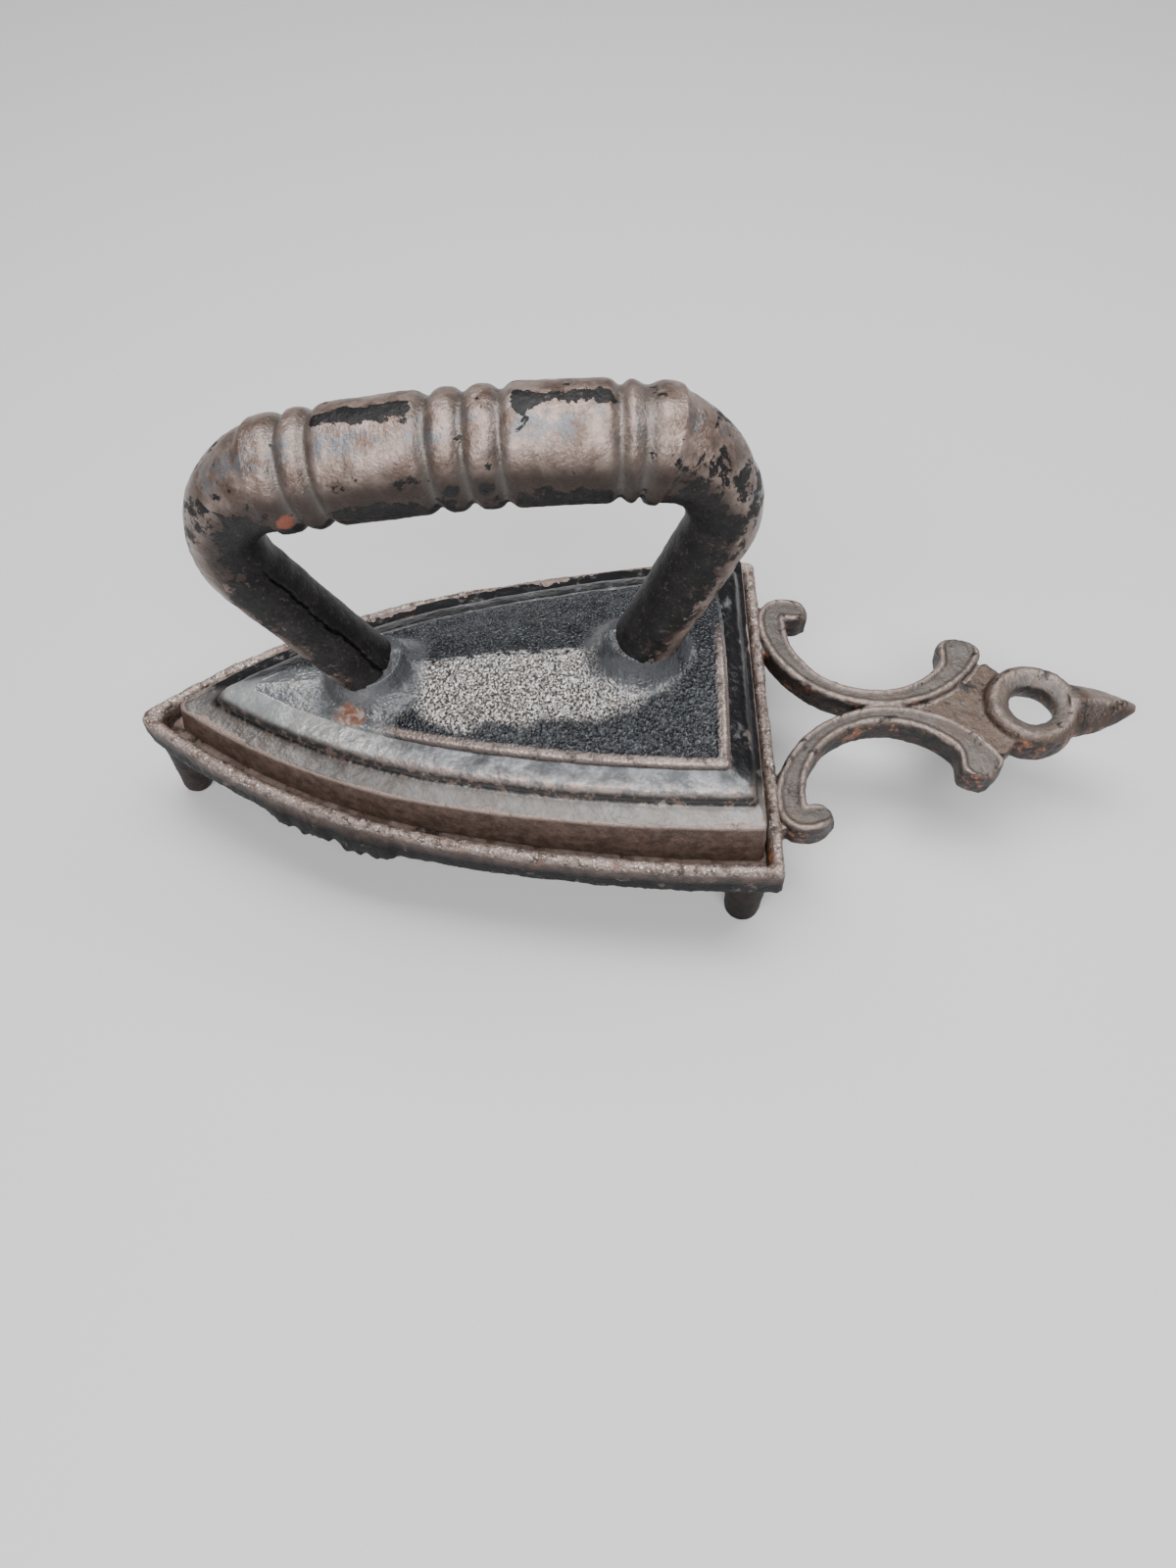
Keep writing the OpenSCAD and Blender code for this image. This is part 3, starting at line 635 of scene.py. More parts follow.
# ---- trivet plate
def make_fence():
    """Fence round the deck, with a rounded crest and a ragged casting fin under the near side."""
    inner = RIM_WALL - RIM_DRAFT
    section = rounded([
        (-RIM_DRAFT + 0.5, DECK_BOTTOM), (-RIM_DRAFT, DECK_BOTTOM + 0.8), (-RIM_DRAFT, RIM_TOP - 3.0),
        (-RIM_DRAFT + 0.25, RIM_TOP - 1.2), (-0.9, RIM_TOP - 0.25), (0.1, RIM_TOP), (1.1, RIM_TOP - 0.45),
        (1.7, RIM_TOP - 1.5), (inner + 0.1, RIM_TOP - 3.0), (inner + 0.5, DECK_TOP + 0.4),
        (inner + 1.0, DECK_TOP + 0.05), (inner + 1.0, DECK_TOP - 1.0), (inner, DECK_BOTTOM)])
    piece, _ = skin("fence", [at_height(outline(inset, inset), z) for inset, z in section], closed=True)
    points = points_of(piece)
    x, y, z = points.T
    low = ramp(DECK_BOTTOM + 5, DECK_BOTTOM, z)
    ragged = fractal(points * [1, 1, 0], 8, 3, seed=3) * 0.9
    ragged = ragged + fractal(points * [1, 1, 0.6], 2.4, 3, seed=8) * 0.3
    near = (y < 0) * ramp(-58, -46, x - MID) * ramp(-6, -22, x - MID)
    fin = near * np.maximum(ragged + 0.8, 0)
    z -= low * (np.abs(ragged) * 0.6 + fin * 1.5)
    y -= ramp(DECK_BOTTOM + 8, DECK_BOTTOM + 2, z) * fin * 1.9
    set_points(piece, points)
    roughen(piece, [(9, 0.28), (2.2, 0.22), (0.9, 0.10)])
    z = points_of(piece)[:, 2]
    paint(piece, crest=ramp(RIM_TOP - 2.8, RIM_TOP - 1.0, z), under=ramp(RIM_TOP - 3.0, RIM_TOP - 6.5, z))
    place(piece, fence_material(), "trivet", "trivet_iron", "trivet_rim")


def clockwise(steps):
    """Angles of one clockwise turn."""
    return -2 * math.pi * np.arange(steps) / steps


def oval(centre_x, length, width, z, angles):
    return at_height(np.column_stack([centre_x + length * np.cos(angles), width * np.sin(angles)]), z)


def lathe(profile, steps):
    """Rings round the Z axis through (radius, height) points, from the bottom to the top."""
    return [oval(0, r, r, z, clockwise(steps)) for r, z in profile]


def make_rear_feet():
    # darker colours than the deck: painted shade under it
    material = plain_cast_material("foot_iron", SHADED_REAR_FOOT_DARK, SHADED_REAR_FOOT_PALE, 0.68)
    top_r = (REAR_FOOT_HIGH[0] - REAR_FOOT_LOW[0]) / 2
    profile = rounded([(0.2, 0), (FOOT_TIP_R - 1.0, 0.02), (FOOT_TIP_R - 0.25, 0.35), (FOOT_TIP_R, 1.1),
                       (FOOT_TIP_R + 0.3, 8), (top_r - 0.15, 20), (top_r, DECK_BOTTOM)], 5)
    for node in ("rear_foot_left", "rear_foot_right"):
        low, high = box_mm(node)
        centre = np.append((low[:2] + high[:2]) / 2, 0)
        piece, points = skin(node + "_cast", [ring + centre for ring in lathe(profile, ROUND_STEPS)])
        roughen(piece, [(6, 0.16), (1.5, 0.10)], ramp(0.2, 1.5, points[:, 2]))
        place(piece, material, "trivet", "foot_iron", node)


def make_front_foot():
    """Bracket from under the nose to a small round tip."""
    rings = []
    for z in np.concatenate([[0, 0.3, 0.9, FRONT_TIP_ROUND], np.linspace(3, DECK_BOTTOM, 24)]):
        t = z / DECK_BOTTOM
        round_off = math.sqrt(1 - max(1 - z / FRONT_TIP_ROUND, 0) ** 2)
        radius = FRONT_TIP_R - 1.2 * (1 - round_off)
        length = radius + FRONT_LENGTHENING * t ** 1.6
        width = radius + FRONT_WIDENING * t ** 1.6
        rings.append(oval(FRONT_TIP_X + FRONT_LEAN * t ** 1.5, length, width, z, clockwise(ROUND_STEPS)))
    piece, points = skin("front_foot_cast", rings)
    roughen(piece, [(6, 0.18), (1.5, 0.10)], ramp(0.2, 1.5, points[:, 2]))
    # darker colours than the deck: painted shade under it
    material = plain_cast_material("front_foot_iron", SHADED_FRONT_FOOT_DARK, SHADED_FRONT_FOOT_PALE, 0.66)
    place(piece, material, "trivet", "foot_iron", "front_foot")


def dress_deck():
    """The deck's shape is right in the frame, so it only gets soft edges and a material."""
    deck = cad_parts["trivet_deck"]
    bevel = deck.modifiers.new("soft edges", "BEVEL")
    bevel.width = 0.5 * MM
    bevel.segments = 3
    bevel.limit_method = "ANGLE"
    deck.data.materials.clear()
    deck.data.materials.append(plain_cast_material("deck_iron", BROWN, PALE_BROWN, 0.60))


# ---- trivet handle
def scroll_path():
    """Middle line and width of the scroll on the +Y side, from the toe by the fence to the free end."""
    edges = ((np.array([SCROLL_X, 34.0]), 34.3), (np.array([SCROLL_X - 1.5, 29.5]), 23.7))
    middle = (edges[0][0] + edges[1][0]) / 2
    angles = np.radians(np.linspace(188, FREE_END_ANGLE, 90))
    line, width = [], []
    for a in angles:
        ray = np.array([math.cos(a), math.sin(a)])
        reach = []
        for centre, radius in edges:
            d = middle - centre
            b = d @ ray
            reach.append(-b + math.sqrt(b * b - d @ d + radius * radius))
        reach[1] -= PINCH * float(ramp(FREE_END_ANGLE - PINCH_ANGLE, FREE_END_ANGLE, math.degrees(a)))
        line.append(middle + ray * sum(reach) / 2)
        width.append(reach[0] - reach[1])
    toe = [HEEL, 0] + np.array([[16.2, 34.0], [13.6, 34.6], [9.8, 35.6], [6.6, 35.2], [5.0, 32.8]])
    toe_width = np.array([6.2, 7.6, 8.4, 8.6, 8.6])
    line = np.concatenate([toe, np.array(line)])
    width = np.concatenate([toe_width, np.array(width)])
    lengths = np.concatenate([[0], np.cumsum(np.linalg.norm(np.diff(line, axis=0), axis=1))])
    at = np.linspace(0, lengths[-1], SCROLL_STEPS)
    fine = np.stack([np.interp(at, lengths, line[:, k]) for k in range(2)], 1)
    for _ in range(3):
        fine[1:-1] = (fine[:-2] + 2 * fine[1:-1] + fine[2:]) / 4
    left = np.clip((lengths[-1] - at) / FREE_END_ROUND, 0, 1)
    wide = np.interp(at, lengths, width) * np.sqrt(1 - (1 - left) ** 2)
    return fine, np.maximum(wide, LEAST_SCROLL_WIDTH)


def channel_section(width, top, bottom):
    """Offsets and heights across a scroll, from the lower left edge over the beads to the lower right."""
    w = width / 2
    half = [(w - 1.0, bottom), (w - 0.2, bottom + 1.2), (w + 0.05, top - 3.2), (w - 0.05, top - 1.5),
            (w - 0.45, top - 0.4), (w - 1.1, top), (w - 1.8, top - 0.25), (w - 2.3, top - 0.8),
            (w * 0.35, top - 0.7)]
    left = [(-u, z) for u, z in half]
    return np.array(left + [(0, top - 0.6)] + half[::-1])


def round_end(steps_left):
    """Rises from 0 to 1 as a quarter circle over the first steps from an end."""
    return math.sqrt(1 - (1 - min(steps_left / CLOSING_STEPS, 1.0)) ** 2)


def scroll_rings(line, width, side):
    """Sections along one scroll, closing at the toe and at the free end."""
    tangent = np.gradient(line, axis=0)
    tangent /= np.linalg.norm(tangent, axis=1)[:, None]
    normal = np.stack([-tangent[:, 1], tangent[:, 0]], 1)
    rings = []
    for i in range(len(line)):
        fade = round_end(i)
        close = 0.45 + 0.55 * round_end(len(line) - 1 - i)
        top = SCROLL_TOP - 2.6 * (1 - fade) - 2.6 * (1 - close)
        section = channel_section(max(width[i] * max(fade, 0.35) * close, 3.4), top, DECK_BOTTOM + 0.4)
        ring = np.array([(*(line[i] + normal[i] * u), z) for u, z in section]) * [1, side, 1]
        rings.append(ring[::-side])
    return rings


def finial_rings():
    """Sections of the leaf beyond the ring, with a keel along its top."""
    around = clockwise(FINIAL_STEPS)
    rings = []
    for t in np.linspace(0, 1, FINIAL_STEPS):
        x = RING_X + 9.5 + (TIP_X - RING_X - 9.7) * t
        half = float(np.interp(x - RING_X, LEAF[0], LEAF[1]))
        deep = 0.62 * half + 0.4
        z = DECK_BOTTOM + 5.2 + 0.8 * t
        keel = 0.9 * bump(0, 0.35, np.cos(around)) * (np.sin(around) > 0) * min(half / 3, 1)
        rings.append(np.column_stack([np.full(FINIAL_STEPS, x), half * np.cos(around),
                                      z + deep * np.sin(around) + keel]))
    return rings


def block(name, loop, bottom, top):
    """Upright block over a plan loop that runs clockwise."""
    return skin(name, [at_height(loop, bottom), at_height(loop, top)])[0]


def make_scroll_handle():
    """Both scrolls, the web, the ring and the finial as one casting."""
    line, width = scroll_path()
    parts = [skin("scroll_part", scroll_rings(line, width, side))[0] for side in (-1, 1)]
    ring_profile = rounded([(r, DECK_BOTTOM + z) for r, z in (
        (8.8, 0), (12.2, 0), (13.4, 1.4), (13.5, 6.5), (13.0, 9.0), (12.2, 10.3),
        (11.0, 10.9), (9.6, 10.5), (7.6, 9.6), (6.4, 8.4), (6.4, 5.4), (7.3, 2.6))])
    ring = [section + [RING_X, 0, 0] for section in lathe(ring_profile, RING_STEPS)]
    parts.append(skin("ring_part", ring, closed=True)[0])
    web = [(SCROLL_X + x, y) for x, y in ((-4, 2), (6, 3.2), (14, 6), (20, 10), (26, 14.5), (31, 15.5))]
    web += [(RING_X - 7, 12.5), (RING_X - 6.5, 9)]
    loop = np.array(web + [(x, -y) for x, y in web[::-1]])
    parts.append(block("web_part", loop, DECK_BOTTOM + 1.2, WEB_TOP))
    parts.append(skin("finial_part", finial_rings())[0])
    lug = [HEEL, 0] + np.array([(-1, 19), (3, 21), (6, 26), (6, 36), (-1, 40)])
    for side in (-1, 1):
        loop = (lug * [1, side])[::side]
        parts.append(block("lug_part", loop, DECK_BOTTOM + 0.6, LUG_TOP))
    piece = fuse("scroll_handle", parts)
    points = points_of(piece)
    points[:, 0] = np.minimum(points[:, 0], TIP_X)
    set_points(piece, points)
    roughen(piece, [(7, 0.22), (1.8, 0.13), (0.8, 0.05)])
    mask_scroll(piece, line, width)
    place(piece, scroll_material(), "trivet", "scroll_iron",
          "scroll_left", "scroll_right", "scroll_web", "hanging_ring", "finial")


def mask_scroll(piece, line, width):
    """Marks the beads, the lines beside them, the hollows with dirt and painted shade, the side walls of the
    scroll handle and the painted shade on the near side of its leaf.
    """
    x, y, _ = points_of(piece).T
    level = normals_of(piece)[:, 2]
    distance = np.full(len(x), np.inf)
    local = np.ones(len(x))
    for p, w in zip(line, width):
        d = np.hypot(x - p[0], np.abs(y) - p[1])
        nearer = d < distance
        distance[nearer] = d[nearer]
        local[nearer] = w
    edge = ramp(2.3, 1.4, local / 2 - distance) * (distance < local / 2 + 1.5)
    from_ring = np.hypot(x - RING_X, y)
    ring = bump(11.2, 2.2, from_ring)
    beyond = ramp(RING_X + 10, RING_X + 13, x)
    up = ramp(0.25, 0.6, level)
    depth = local / 2 - distance
    lines = np.maximum(bump(2.4, 0.45, depth), 0.6 * bump(3.6, 0.35, depth))
    hollow = (depth < -1.0) * (from_ring > RING_HIGH[1] + 0.5) * (x < RING_X)
    # painted shade on the near side of the leaf beyond the ring
    leaf_near_side_shade = beyond * ramp(0.5, -2.5, y)
    paint(piece, bead=np.maximum(np.maximum(edge, ring), beyond) * up,
          line=lines * up * (from_ring > RING_HIGH[1]),
          # hollows of the web and the ring's foot: dirt and painted shade
          earthy=np.maximum(hollow, bump(RING_HIGH[1], 2.0, from_ring)),
          side=np.maximum(1 - ramp(0.1, 0.5, level), 0.8 * leaf_near_side_shade))


def fuse(name, parts):
    """One closed casting from overlapping parts, with the joints between them softened."""
    with bpy.context.temp_override(active_object=parts[0], selected_editable_objects=parts):
        bpy.ops.object.join()
    piece = parts[0]
    piece.name = name
    piece.data.name = name
    remesh = piece.modifiers.new("fuse", "REMESH")
    remesh.mode = "VOXEL"
    remesh.voxel_size = FUSE_VOXEL * MM
    remesh.use_smooth_shade = True
    soften = piece.modifiers.new("soften", "SMOOTH")
    soften.factor = 0.5
    soften.iterations = 2
    apply_modifiers(piece)
    return piece


def apply_modifiers(piece):
    graph = bpy.context.evaluated_depsgraph_get()
    mesh = bpy.data.meshes.new_from_object(piece.evaluated_get(graph))
    piece.modifiers.clear()
    piece.data = mesh
    mesh.polygons.foreach_set("use_smooth", [True] * len(mesh.polygons))


# ---- iron body
def level_ring(inset, heel_inset, lift, corner=CORNER_ROUND):
    flat = outline(inset, heel_inset, corner)
    return at_height(flat, edge_z(flat[:, 0]) + lift)


def make_sole_block():
    """Flank of the iron: a flat sole, a rough upright wall and a worn edge."""
    low = DECK_TOP + 1.0
    rings = []
    for inset, z in ((30.0, DECK_TOP + 0.05), (SOLE_INSET + 0.8, DECK_TOP + 0.05),
                     (SOLE_INSET + 0.2, DECK_TOP + 0.35), (SOLE_INSET, low)):
        rings.append(at_height(outline(inset, inset + SOLE_HEEL_INSET - SOLE_INSET), z))
    for t in np.linspace(0.12, 0.94, 10):
        flat = outline(SOLE_INSET + SIDE_DRAFT * t, SOLE_HEEL_INSET + HEEL_DRAFT * t)
        rings.append(at_height(flat, low + (edge_z(flat[:, 0]) - 0.5 - low) * t))
    for inset, lift in ((0.05, -0.45), (0.25, -0.12), (0.7, 0.03), (1.6, 0.10), (4.0, 0.2)):
        rings.append(level_ring(SHOULDER_BASE + inset, HEEL_BASE + inset * 0.6, lift))
    piece, points = skin("sole_casting", rings)
    x, _, z = points.T
    wall = ramp(DECK_TOP + 0.1, DECK_TOP + 1.2, z) * ramp(0.0, 1.5, edge_z(x) - z)
    roughen(piece, [(14, 0.18), (2.6, 0.12), (0.9, 0.06)], 0.25 + 0.75 * wall)
    points = points_of(piece)
    points[:, 2] = np.maximum(points[:, 2], DECK_TOP)
    set_points(piece, points)
    paint(piece, crest=ramp(0.9, 0.35, edge_z(points[:, 0]) - points[:, 2]))
    place(piece, flank_material(), "iron", "flank_rust", "sole_block")


def make_shoulder():
    """Two ledges with a rounded riser between, as inset, inset at the heel and height over the edge."""
    profile = rounded([
        (0.35, 0.2, -0.35), (0.6, 0.3, -0.02), (1.2, 0.5, 0.12), (3.2, 1.0, 0.45), (5.2, 1.7, 0.95),
        (6.1, 2.1, 1.6), (6.5, 2.3, 2.6), (7.0, 2.7, 3.6), (7.8, 3.4, 4.6), (9.0, 4.7, 5.4),
        (10.6, 6.6, 6.2), (12.4, 8.4, 7.0), (12.9, 8.8, 7.1), (13.6, 9.4, 6.9), (18, 13.0, 6.4)])
    rings = [level_ring(SHOULDER_BASE + inset, HEEL_BASE + heel_inset, lift,
                        CORNER_ROUND + 0.5 * min(inset / 6, 1)) for inset, heel_inset, lift in profile]
    low = [level_ring(SHOULDER_BASE + 18, HEEL_BASE + 13, -0.5, CORNER_ROUND + 0.5),
           level_ring(SHOULDER_BASE + 0.6, HEEL_BASE + 0.3, -0.5)]
    piece, points = skin("shoulder_casting", rings + low, closed=True)
    x, y, z = points.T
    lift = z - edge_z(x)
    roughen(piece, [(16, 0.22), (4, 0.12), (1.1, 0.07)], ramp(-0.4, 0.2, lift))
    near = ramp(2, -4, y)
    heel = ramp(HEEL - 17, HEEL - 14, x)
    x = x - MID
    upper = ramp(3.6, 5.0, lift)
    inward = heel * ramp(-HALF_WIDTH + 14, -HALF_WIDTH + 22, y)
    paint(piece, upper=upper,
          pale=ramp(-8, -30, x) * ramp(5, 0, y),
          patch=bump(-30, 12, x) * near * upper,
          corner=heel * ramp(-38, -42, y) * ramp(3.0, 4.4, lift),
          riser=bump(3.0, 1.1, lift) + bump(1.5, 0.5, lift),
          rubbed=bump(4.5, 0.8, lift) * near * ramp(-45, -10, x),
          dark=np.maximum(ramp(1, 6, y), inward))
    place(piece, shoulder_material(), "iron", "shoulder_iron", "stepped_shoulder")


def ridge_height(x):
    return np.maximum(LEAST_RIDGE, RIDGE_RISE * (1 - (np.maximum(RIDGE_FLAT - x, 0) / RIDGE_RUN) ** 2))


def leg_gaps(x, y, z):
    """Distance of each point from the surface of the front leg and of the rear leg."""
    result = []
    for s, slope, radius in ((0.0, FRONT_SLOPE, FRONT_LEG_R), (TUBE.end, REAR_SLOPE, REAR_LEG_R)):
        root = axis_at(s)
        dx, dz = x - root[0], z - root[1]
        across = -dx * math.sin(slope) + dz * math.cos(slope)
        result.append(np.hypot(across, y) - radius)
    return result


def fillet_lift(gap):
    """Height that a quarter-round fillet adds at each distance from a leg's surface."""
    inside = LEG_FILLET - np.clip(gap, 0, LEG_FILLET)
    return LEG_FILLET - np.sqrt(LEG_FILLET ** 2 - inside ** 2)


def crown_row(x, across, start):
    """Points across the crown at x: a swelling panel, beaded along its near edge and its heel edge."""
    w = max(float(half_width(x, CROWN_INSET)), 0.5)
    y = across * w
    inner = w - np.abs(y)
    t = np.abs(across)
    fall = 1 - STRAIGHT_SHARE * np.sqrt(t * t + CREASE_SOFTNESS) - CURVED_SHARE * t * t
    panel = float(ridge_height(x)) * fall
    heel_gap = CROWN_HEEL - x
    near = ramp(0.5, -0.5, y)
    fade = ramp(MID - 45, MID - 5, x)
    along = BEAD_HEIGHT * bump(BEAD_PLACE, BEAD_WIDTH, inner) * near * fade
    gable = BEAD_HEIGHT * bump(BEAD_PLACE, BEAD_WIDTH, heel_gap)
    drop = LINE_DEPTH * bump(0, LINE_WIDTH, inner) * fade + LINE_DEPTH * bump(0, LINE_WIDTH, heel_gap)
    z = float(edge_z(x)) + CROWN_LIFT + panel + np.maximum(along, gable) - drop
    nose = ramp(start + 14, start, x)
    z = z - 0.35 * nose
    return np.column_stack([np.full(len(y), x), y, z])


def crown_shell(top):
    """Faces of a closed block under a grid of top points, and the points of its lower border."""
    rows, columns = top.shape[:2]
    faces = [(i * columns + j, (i + 1) * columns + j, (i + 1) * columns + j + 1, i * columns + j + 1)
             for i in range(rows - 1) for j in range(columns - 1)]
    border = list(range(columns))
    border += [i * columns + columns - 1 for i in range(1, rows)]
    border += [(rows - 1) * columns + j for j in range(columns - 2, -1, -1)]
    border += [i * columns for i in range(rows - 2, 0, -1)]
    low = top.reshape(-1, 3)[border]
    low[:, 2] = edge_z(low[:, 0]) + CROWN_LIFT - 1.2
    count = rows * columns
    for k in range(len(border)):
        after = (k + 1) % len(border)
        faces.append((border[k], border[after], count + after, count + k))
    faces.append(tuple(count + k for k in range(len(border))))
    return low, faces


def make_crown():
    """Panel that swells to a ridge, with a beaded edge and a broad fillet round each leg."""
    start = nose_x(CROWN_INSET) - NOSE_ROUND + MID
    reach = CROWN_HEEL - start - CROWN_NOSE_GAP
    xs = start + CROWN_NOSE_GAP + reach * np.linspace(0, 1, CROWN_ROWS) ** 1.1
    top = np.array([crown_row(x, np.linspace(-1, 1, CROWN_COLUMNS), start) for x in xs])
    flat = top[..., 2].copy()
    for _ in range(FILLET_PASSES):
        front, rear = leg_gaps(top[..., 0], top[..., 1], top[..., 2])
        top[..., 2] = flat + np.maximum(fillet_lift(front), fillet_lift(rear))
    low, faces = crown_shell(top)
    piece = new_object("crown_casting", np.concatenate([top.reshape(-1, 3), low]), faces)
    fix_normals(piece)
    x, y, z = points_of(piece).T
    lift = z - edge_z(x) - CROWN_LIFT
    w = np.maximum(half_width(x, CROWN_INSET), 0.5)
    inner = w - np.abs(y)
    heel_gap = CROWN_HEEL - x
    gap = np.minimum(*leg_gaps(x, y, z))
    x = x - MID
    near = ramp(0.5, -0.5, y) * ramp(-45, -10, x)
    heel_bead = ramp(3.4, 2.0, heel_gap) * ramp(12, -6, y)
    bead = np.maximum(ramp(3.4, 2.0, inner) * near, heel_bead)
    roughen(piece, [(12, 0.25), (3.0, 0.12), (1.0, 0.13)], ramp(-0.6, 0.2, lift) * (1 - 0.5 * bead))
    worn_to = np.interp(x, [-5, 55], [0.86, 0.52]) * w
    worn = ramp(1.5, -1.5, y) * ramp(worn_to + 5, worn_to - 7, -y)
    worn = worn * ramp(-20, 4, x) * ramp(72, 40, x) * ramp(0.5, 4.5, gap)
    paint(piece, cove=ramp(6.5, 4, gap), worn=worn, bead=bead,
          # line: painted shadow in the groove at the panel's near edge
          line=bump(0, 0.7, inner) * near,
          nose=ramp(-12, -20, x) * ramp(7, 1, y),
          ridge=bump(0.6, 0.8, y) * ramp(-22, -14, x) * ramp(60, 50, x))
    place(piece, crown_material(), "iron", "crown_black", "crown_panel")


def fix_normals(piece):
    work = bmesh.new()
    work.from_mesh(piece.data)
    bmesh.ops.recalc_face_normals(work, faces=work.faces)
    work.to_mesh(piece.data)
    work.free()
    piece.data.update()


# ---- handle tube
def on_arc(centre, radius, slope):
    return centre + radius * np.array([-math.sin(slope), math.cos(slope)])


def tube_stretches():
    """Lengths along the tube's axis where its stretches end, and the centres of its bends."""
    arch_centre = ARCH_TOP - [0, ARCH_R]
    front_centre = on_arc(arch_centre, ARCH_R - FRONT_BEND_R, FRONT_ARCH_ANGLE)
    rear_centre = on_arc(arch_centre, ARCH_R - REAR_BEND_R, -REAR_ARCH_ANGLE)
    front_top = on_arc(front_centre, FRONT_BEND_R, FRONT_SLOPE)
    rear_top = on_arc(rear_centre, REAR_BEND_R, REAR_SLOPE)
    leg = (front_top[1] - FRONT_ROOT_Z) / math.sin(FRONT_SLOPE)
    bend = leg + FRONT_BEND_R * (FRONT_SLOPE - FRONT_ARCH_ANGLE)
    arch = bend + ARCH_R * (FRONT_ARCH_ANGLE + REAR_ARCH_ANGLE)
    rear = arch + REAR_BEND_R * (-REAR_ARCH_ANGLE - REAR_SLOPE)
    end = rear + (rear_top[1] - REAR_ROOT_Z) / -math.sin(REAR_SLOPE)
    middle = (bend + arch) / 2 + GRIP_OFFSET
    return SimpleNamespace(
        arch_centre=arch_centre, front_centre=front_centre, rear_centre=rear_centre,
        front_top=front_top, rear_top=rear_top, leg=leg, bend=bend, arch=arch, rear=rear, end=end,
        middle=middle, start=middle - GRIP_FRONT_HALF, finish=middle + GRIP_REAR_HALF)


TUBE = tube_stretches()


def slope_at(s):
    return float(np.interp(s, [TUBE.leg, TUBE.bend, TUBE.arch, TUBE.rear],
                           [FRONT_SLOPE, FRONT_ARCH_ANGLE, -REAR_ARCH_ANGLE, REAR_SLOPE]))


def axis_at(s):
    """Place of the tube's axis, as X and Z, at length s from the root of the front leg."""
    if s < TUBE.leg:
        return TUBE.front_top - (TUBE.leg - s) * np.array([math.cos(FRONT_SLOPE), math.sin(FRONT_SLOPE)])
    if s < TUBE.bend:
        return on_arc(TUBE.front_centre, FRONT_BEND_R, slope_at(s))
    if s < TUBE.arch:
        return on_arc(TUBE.arch_centre, ARCH_R, slope_at(s))
    if s < TUBE.rear:
        return on_arc(TUBE.rear_centre, REAR_BEND_R, slope_at(s))
    return TUBE.rear_top + (s - TUBE.rear) * np.array([math.cos(REAR_SLOPE), math.sin(REAR_SLOPE)])


def groove_at(s):
    return min(1.0, sum(math.exp(-((s - TUBE.middle - g) / GROOVE_HALF_WIDTH) ** 2) for g in GROOVES))


def radius_at(s):
    """Radius of the tube. It swells along each bend, steps up to the grip and narrows in the grooves."""
    leg, start, finish, rear = TUBE.leg, TUBE.start, TUBE.finish, TUBE.rear
    plain = float(np.interp(
        s, [leg, leg + (start - leg) * BEND_MID, start, start + GRIP_STEP,
            finish - GRIP_STEP, finish, rear + (finish - rear) * BEND_MID, rear],
        [FRONT_LEG_R, BEND_MID_R, BEND_END_R, GRIP_R, GRIP_R, BEND_END_R, BEND_MID_R, REAR_LEG_R]))
    return plain - GROOVE_DEPTH * groove_at(s)


def surface_at(s, turn):
    """Place on the tube's surface at length s, turned in degrees from the top towards the near side."""
    centre, slope, angle = axis_at(s), slope_at(s), math.radians(turn)
    radius = radius_at(s)
    up = radius * math.cos(angle)
    return centre[0] - up * math.sin(slope), -radius * math.sin(angle), centre[1] + up * math.cos(slope)


def make_tube():
    """The whole handle: one bent tube with rolled grooves and a cracked seam down its front leg."""
    stations = np.concatenate([
        np.arange(-ROOT_DEPTH, TUBE.start - 4, 0.6),
        np.arange(TUBE.start - 4, TUBE.finish + 4, 0.35),
        np.arange(TUBE.finish + 4, TUBE.end + ROOT_DEPTH, 0.8),
    ])
    fine_from, fine_to = SEAM_FACETS
    around = np.radians(np.concatenate([np.arange(0, fine_from, TUBE_FACET),
                                        np.arange(fine_from, fine_to, SEAM_FACET),
                                        np.arange(fine_to, 360, TUBE_FACET)]))
    rings = []
    for s in stations:
        centre, slope, radius = axis_at(s), slope_at(s), radius_at(s)
        out = radius * np.sin(around)
        rings.append(np.column_stack([centre[0] + out * math.sin(slope), radius * np.cos(around),
                                      centre[1] - out * math.cos(slope)]))
    piece, points = skin("handle_tube", rings)
    fix_normals(piece)
    along = np.repeat(stations, len(around))
    turn = np.degrees(np.tile(np.arctan2(-np.cos(around), -np.sin(around)), len(stations)))
    wander = fractal(points, 9, 4, seed=5) * 6 + fractal(points, 1.6, 3, seed=9) * 4
    on_leg = ramp(TUBE.leg + 6, TUBE.leg - 2, along)
    seam = bump(SEAM_TURN, 2.2, turn + wander) * on_leg * ramp(2, 8, along)
    roughen(piece, [(18, 0.30), (5, 0.16), (1.4, 0.08)])
    set_points(piece, points_of(piece) - normals_of(piece) * (SEAM_DEPTH * seam)[:, None])
    paint_tube(piece, along, turn, seam)
    place(piece, tube_material(), "iron", "grip_bronze",
          "front_leg", "front_elbow", "grip", "rear_elbow", "rear_leg")


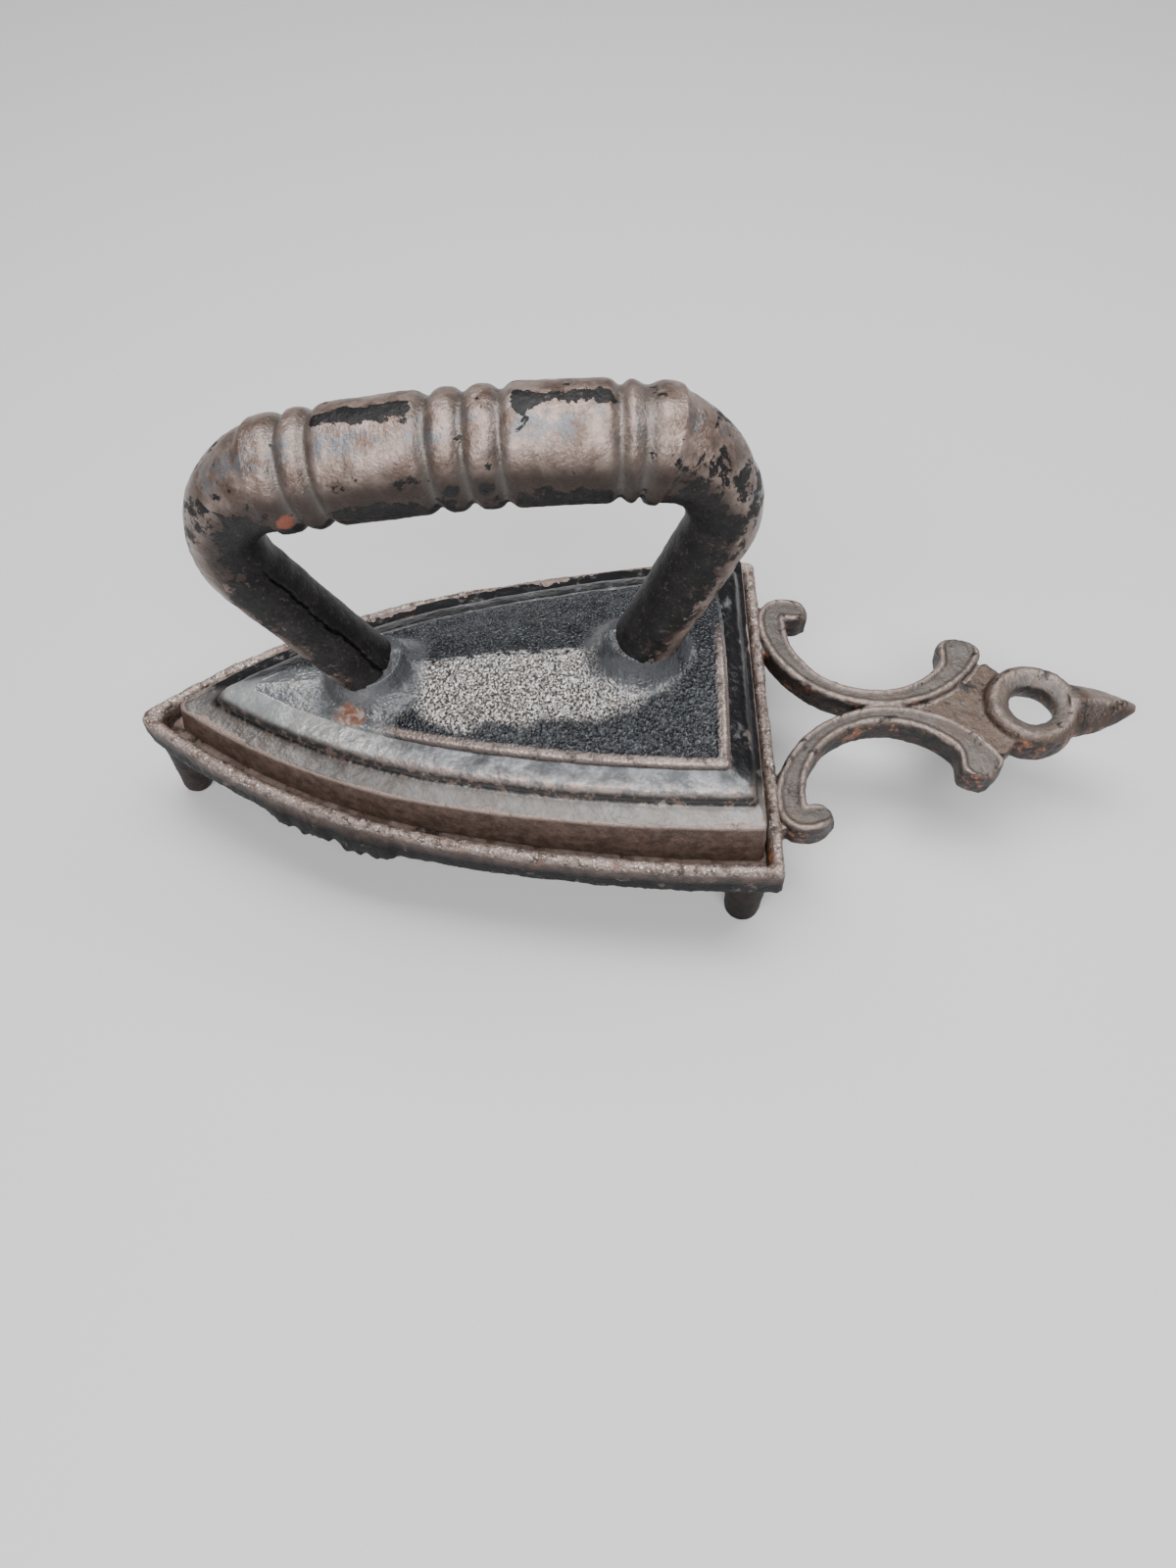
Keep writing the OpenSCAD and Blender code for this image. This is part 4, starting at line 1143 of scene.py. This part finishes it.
def paint_tube(piece, along, turn, seam):
    """Marks where black paint is left, and the grooves, the blue top, the painted shade on the low near side,
    seam and chips.
    """
    from_grip = np.maximum(TUBE.start - along, along - TUBE.finish)
    leg = ramp(14, 34, from_grip)
    bend = ramp(0, 6, from_grip) * (1 - leg)
    from_middle = np.abs(along - TUBE.middle)
    barrel = ramp(9, 11, from_middle) * ramp(31, 29, from_middle)
    top = bump(2, 10, turn) * barrel
    low = bump(106, 16, turn)
    under = ramp(112, 132, np.abs(turn))
    far = ramp(-40, -70, turn)
    rear_barrel = barrel * (along > TUBE.middle)
    outer = bump(58, 34, turn)
    bias = 0.37 + 0.25 * top + 0.23 * low * (0.30 + 0.60 * barrel + 0.25 * rear_barrel)
    # more black paint kept over the underside, dark enough to stand in for its shade as well
    bias = bias + 0.5 * under + 0.08 * far
    bias = bias + bend * (0.11 + 0.20 * ramp(70, 115, np.abs(turn)))
    bias = bias * (1 - leg) + leg * (0.64 - 0.20 * outer)
    paint(piece, bias=bias,
          groove=[groove_at(s) for s in along],
          high=bump(28, 18, turn) * (1 - leg),
          # low: painted shade over the near lower side of the tube
          low=ramp(50, 82, turn),
          seam=seam,
          chips=leg * bump(54, 30, turn))


# ---- stage
def make_stage():
    corners = [(x * FLOOR_REACH, y * FLOOR_REACH, 0) for x, y in ((-1, -1), (1, -1), (1, 1), (-1, 1))]
    floor = new_object("floor", corners, [(0, 1, 2, 3)], False)
    material = bpy.data.materials.new("pale_floor")
    material.use_nodes = True
    shader = material.node_tree.nodes["Principled BSDF"]
    shader.inputs["Base Color"].default_value = (*FLOOR_GREY, 1)
    shader.inputs["Roughness"].default_value = 0.9
    floor.data.materials.append(material)


def add_area(name, place_mm, size_mm, power):
    light = bpy.data.lights.new(name, "AREA")
    light.shape = "RECTANGLE"
    light.size, light.size_y = size_mm[0] * MM, size_mm[1] * MM
    light.energy = power
    lamp = bpy.data.objects.new(name, light)
    bpy.context.scene.collection.objects.link(lamp)
    lamp.location = Vector(place_mm) * MM
    lamp.rotation_euler = (Vector(LIT_POINT) - Vector(place_mm)).to_track_quat("-Z", "Y").to_euler()


def make_lights():
    world = bpy.data.worlds.new("studio")
    bpy.context.scene.world = world
    world.use_nodes = True
    background = world.node_tree.nodes["Background"]
    background.inputs["Color"].default_value = (*DAYLIGHT, 1)
    background.inputs["Strength"].default_value = 0.07
    add_area("overhead", (60, 190, 860), (1000, 460), 15)
    add_area("high front", (-60, -560, 800), (900, 260), 12)
    add_area("low front", (-120, -950, 380), (700, 220), 2.5)


def make_camera():
    """Camera above the near side. Its X is counted from MID."""
    camera = bpy.data.cameras.new("camera")
    camera.sensor_width = 36
    camera.lens = 27
    holder = bpy.data.objects.new("camera", camera)
    bpy.context.scene.collection.objects.link(holder)
    yaw, pitch, roll = math.radians(-1.37), math.radians(58.74), math.radians(-2.08)
    right = Vector((math.cos(yaw), -math.sin(yaw), 0))
    forward = Vector((math.sin(yaw) * math.cos(pitch), math.cos(yaw) * math.cos(pitch), -math.sin(pitch)))
    up = right.cross(forward)
    across = math.cos(roll) * right + math.sin(roll) * up
    upward = -math.sin(roll) * right + math.cos(roll) * up
    turn = Matrix((across, upward, -forward)).transposed().to_4x4()
    holder.matrix_world = Matrix.Translation(Vector((MID + 40.7, -189.2, 306.4)) * MM) @ turn
    bpy.context.scene.camera = holder


make_camera()
make_lights()
make_stage()
make_fence()
make_rear_feet()
make_front_foot()
dress_deck()
make_scroll_handle()
make_sole_block()
make_shoulder()
make_crown()
make_tube()
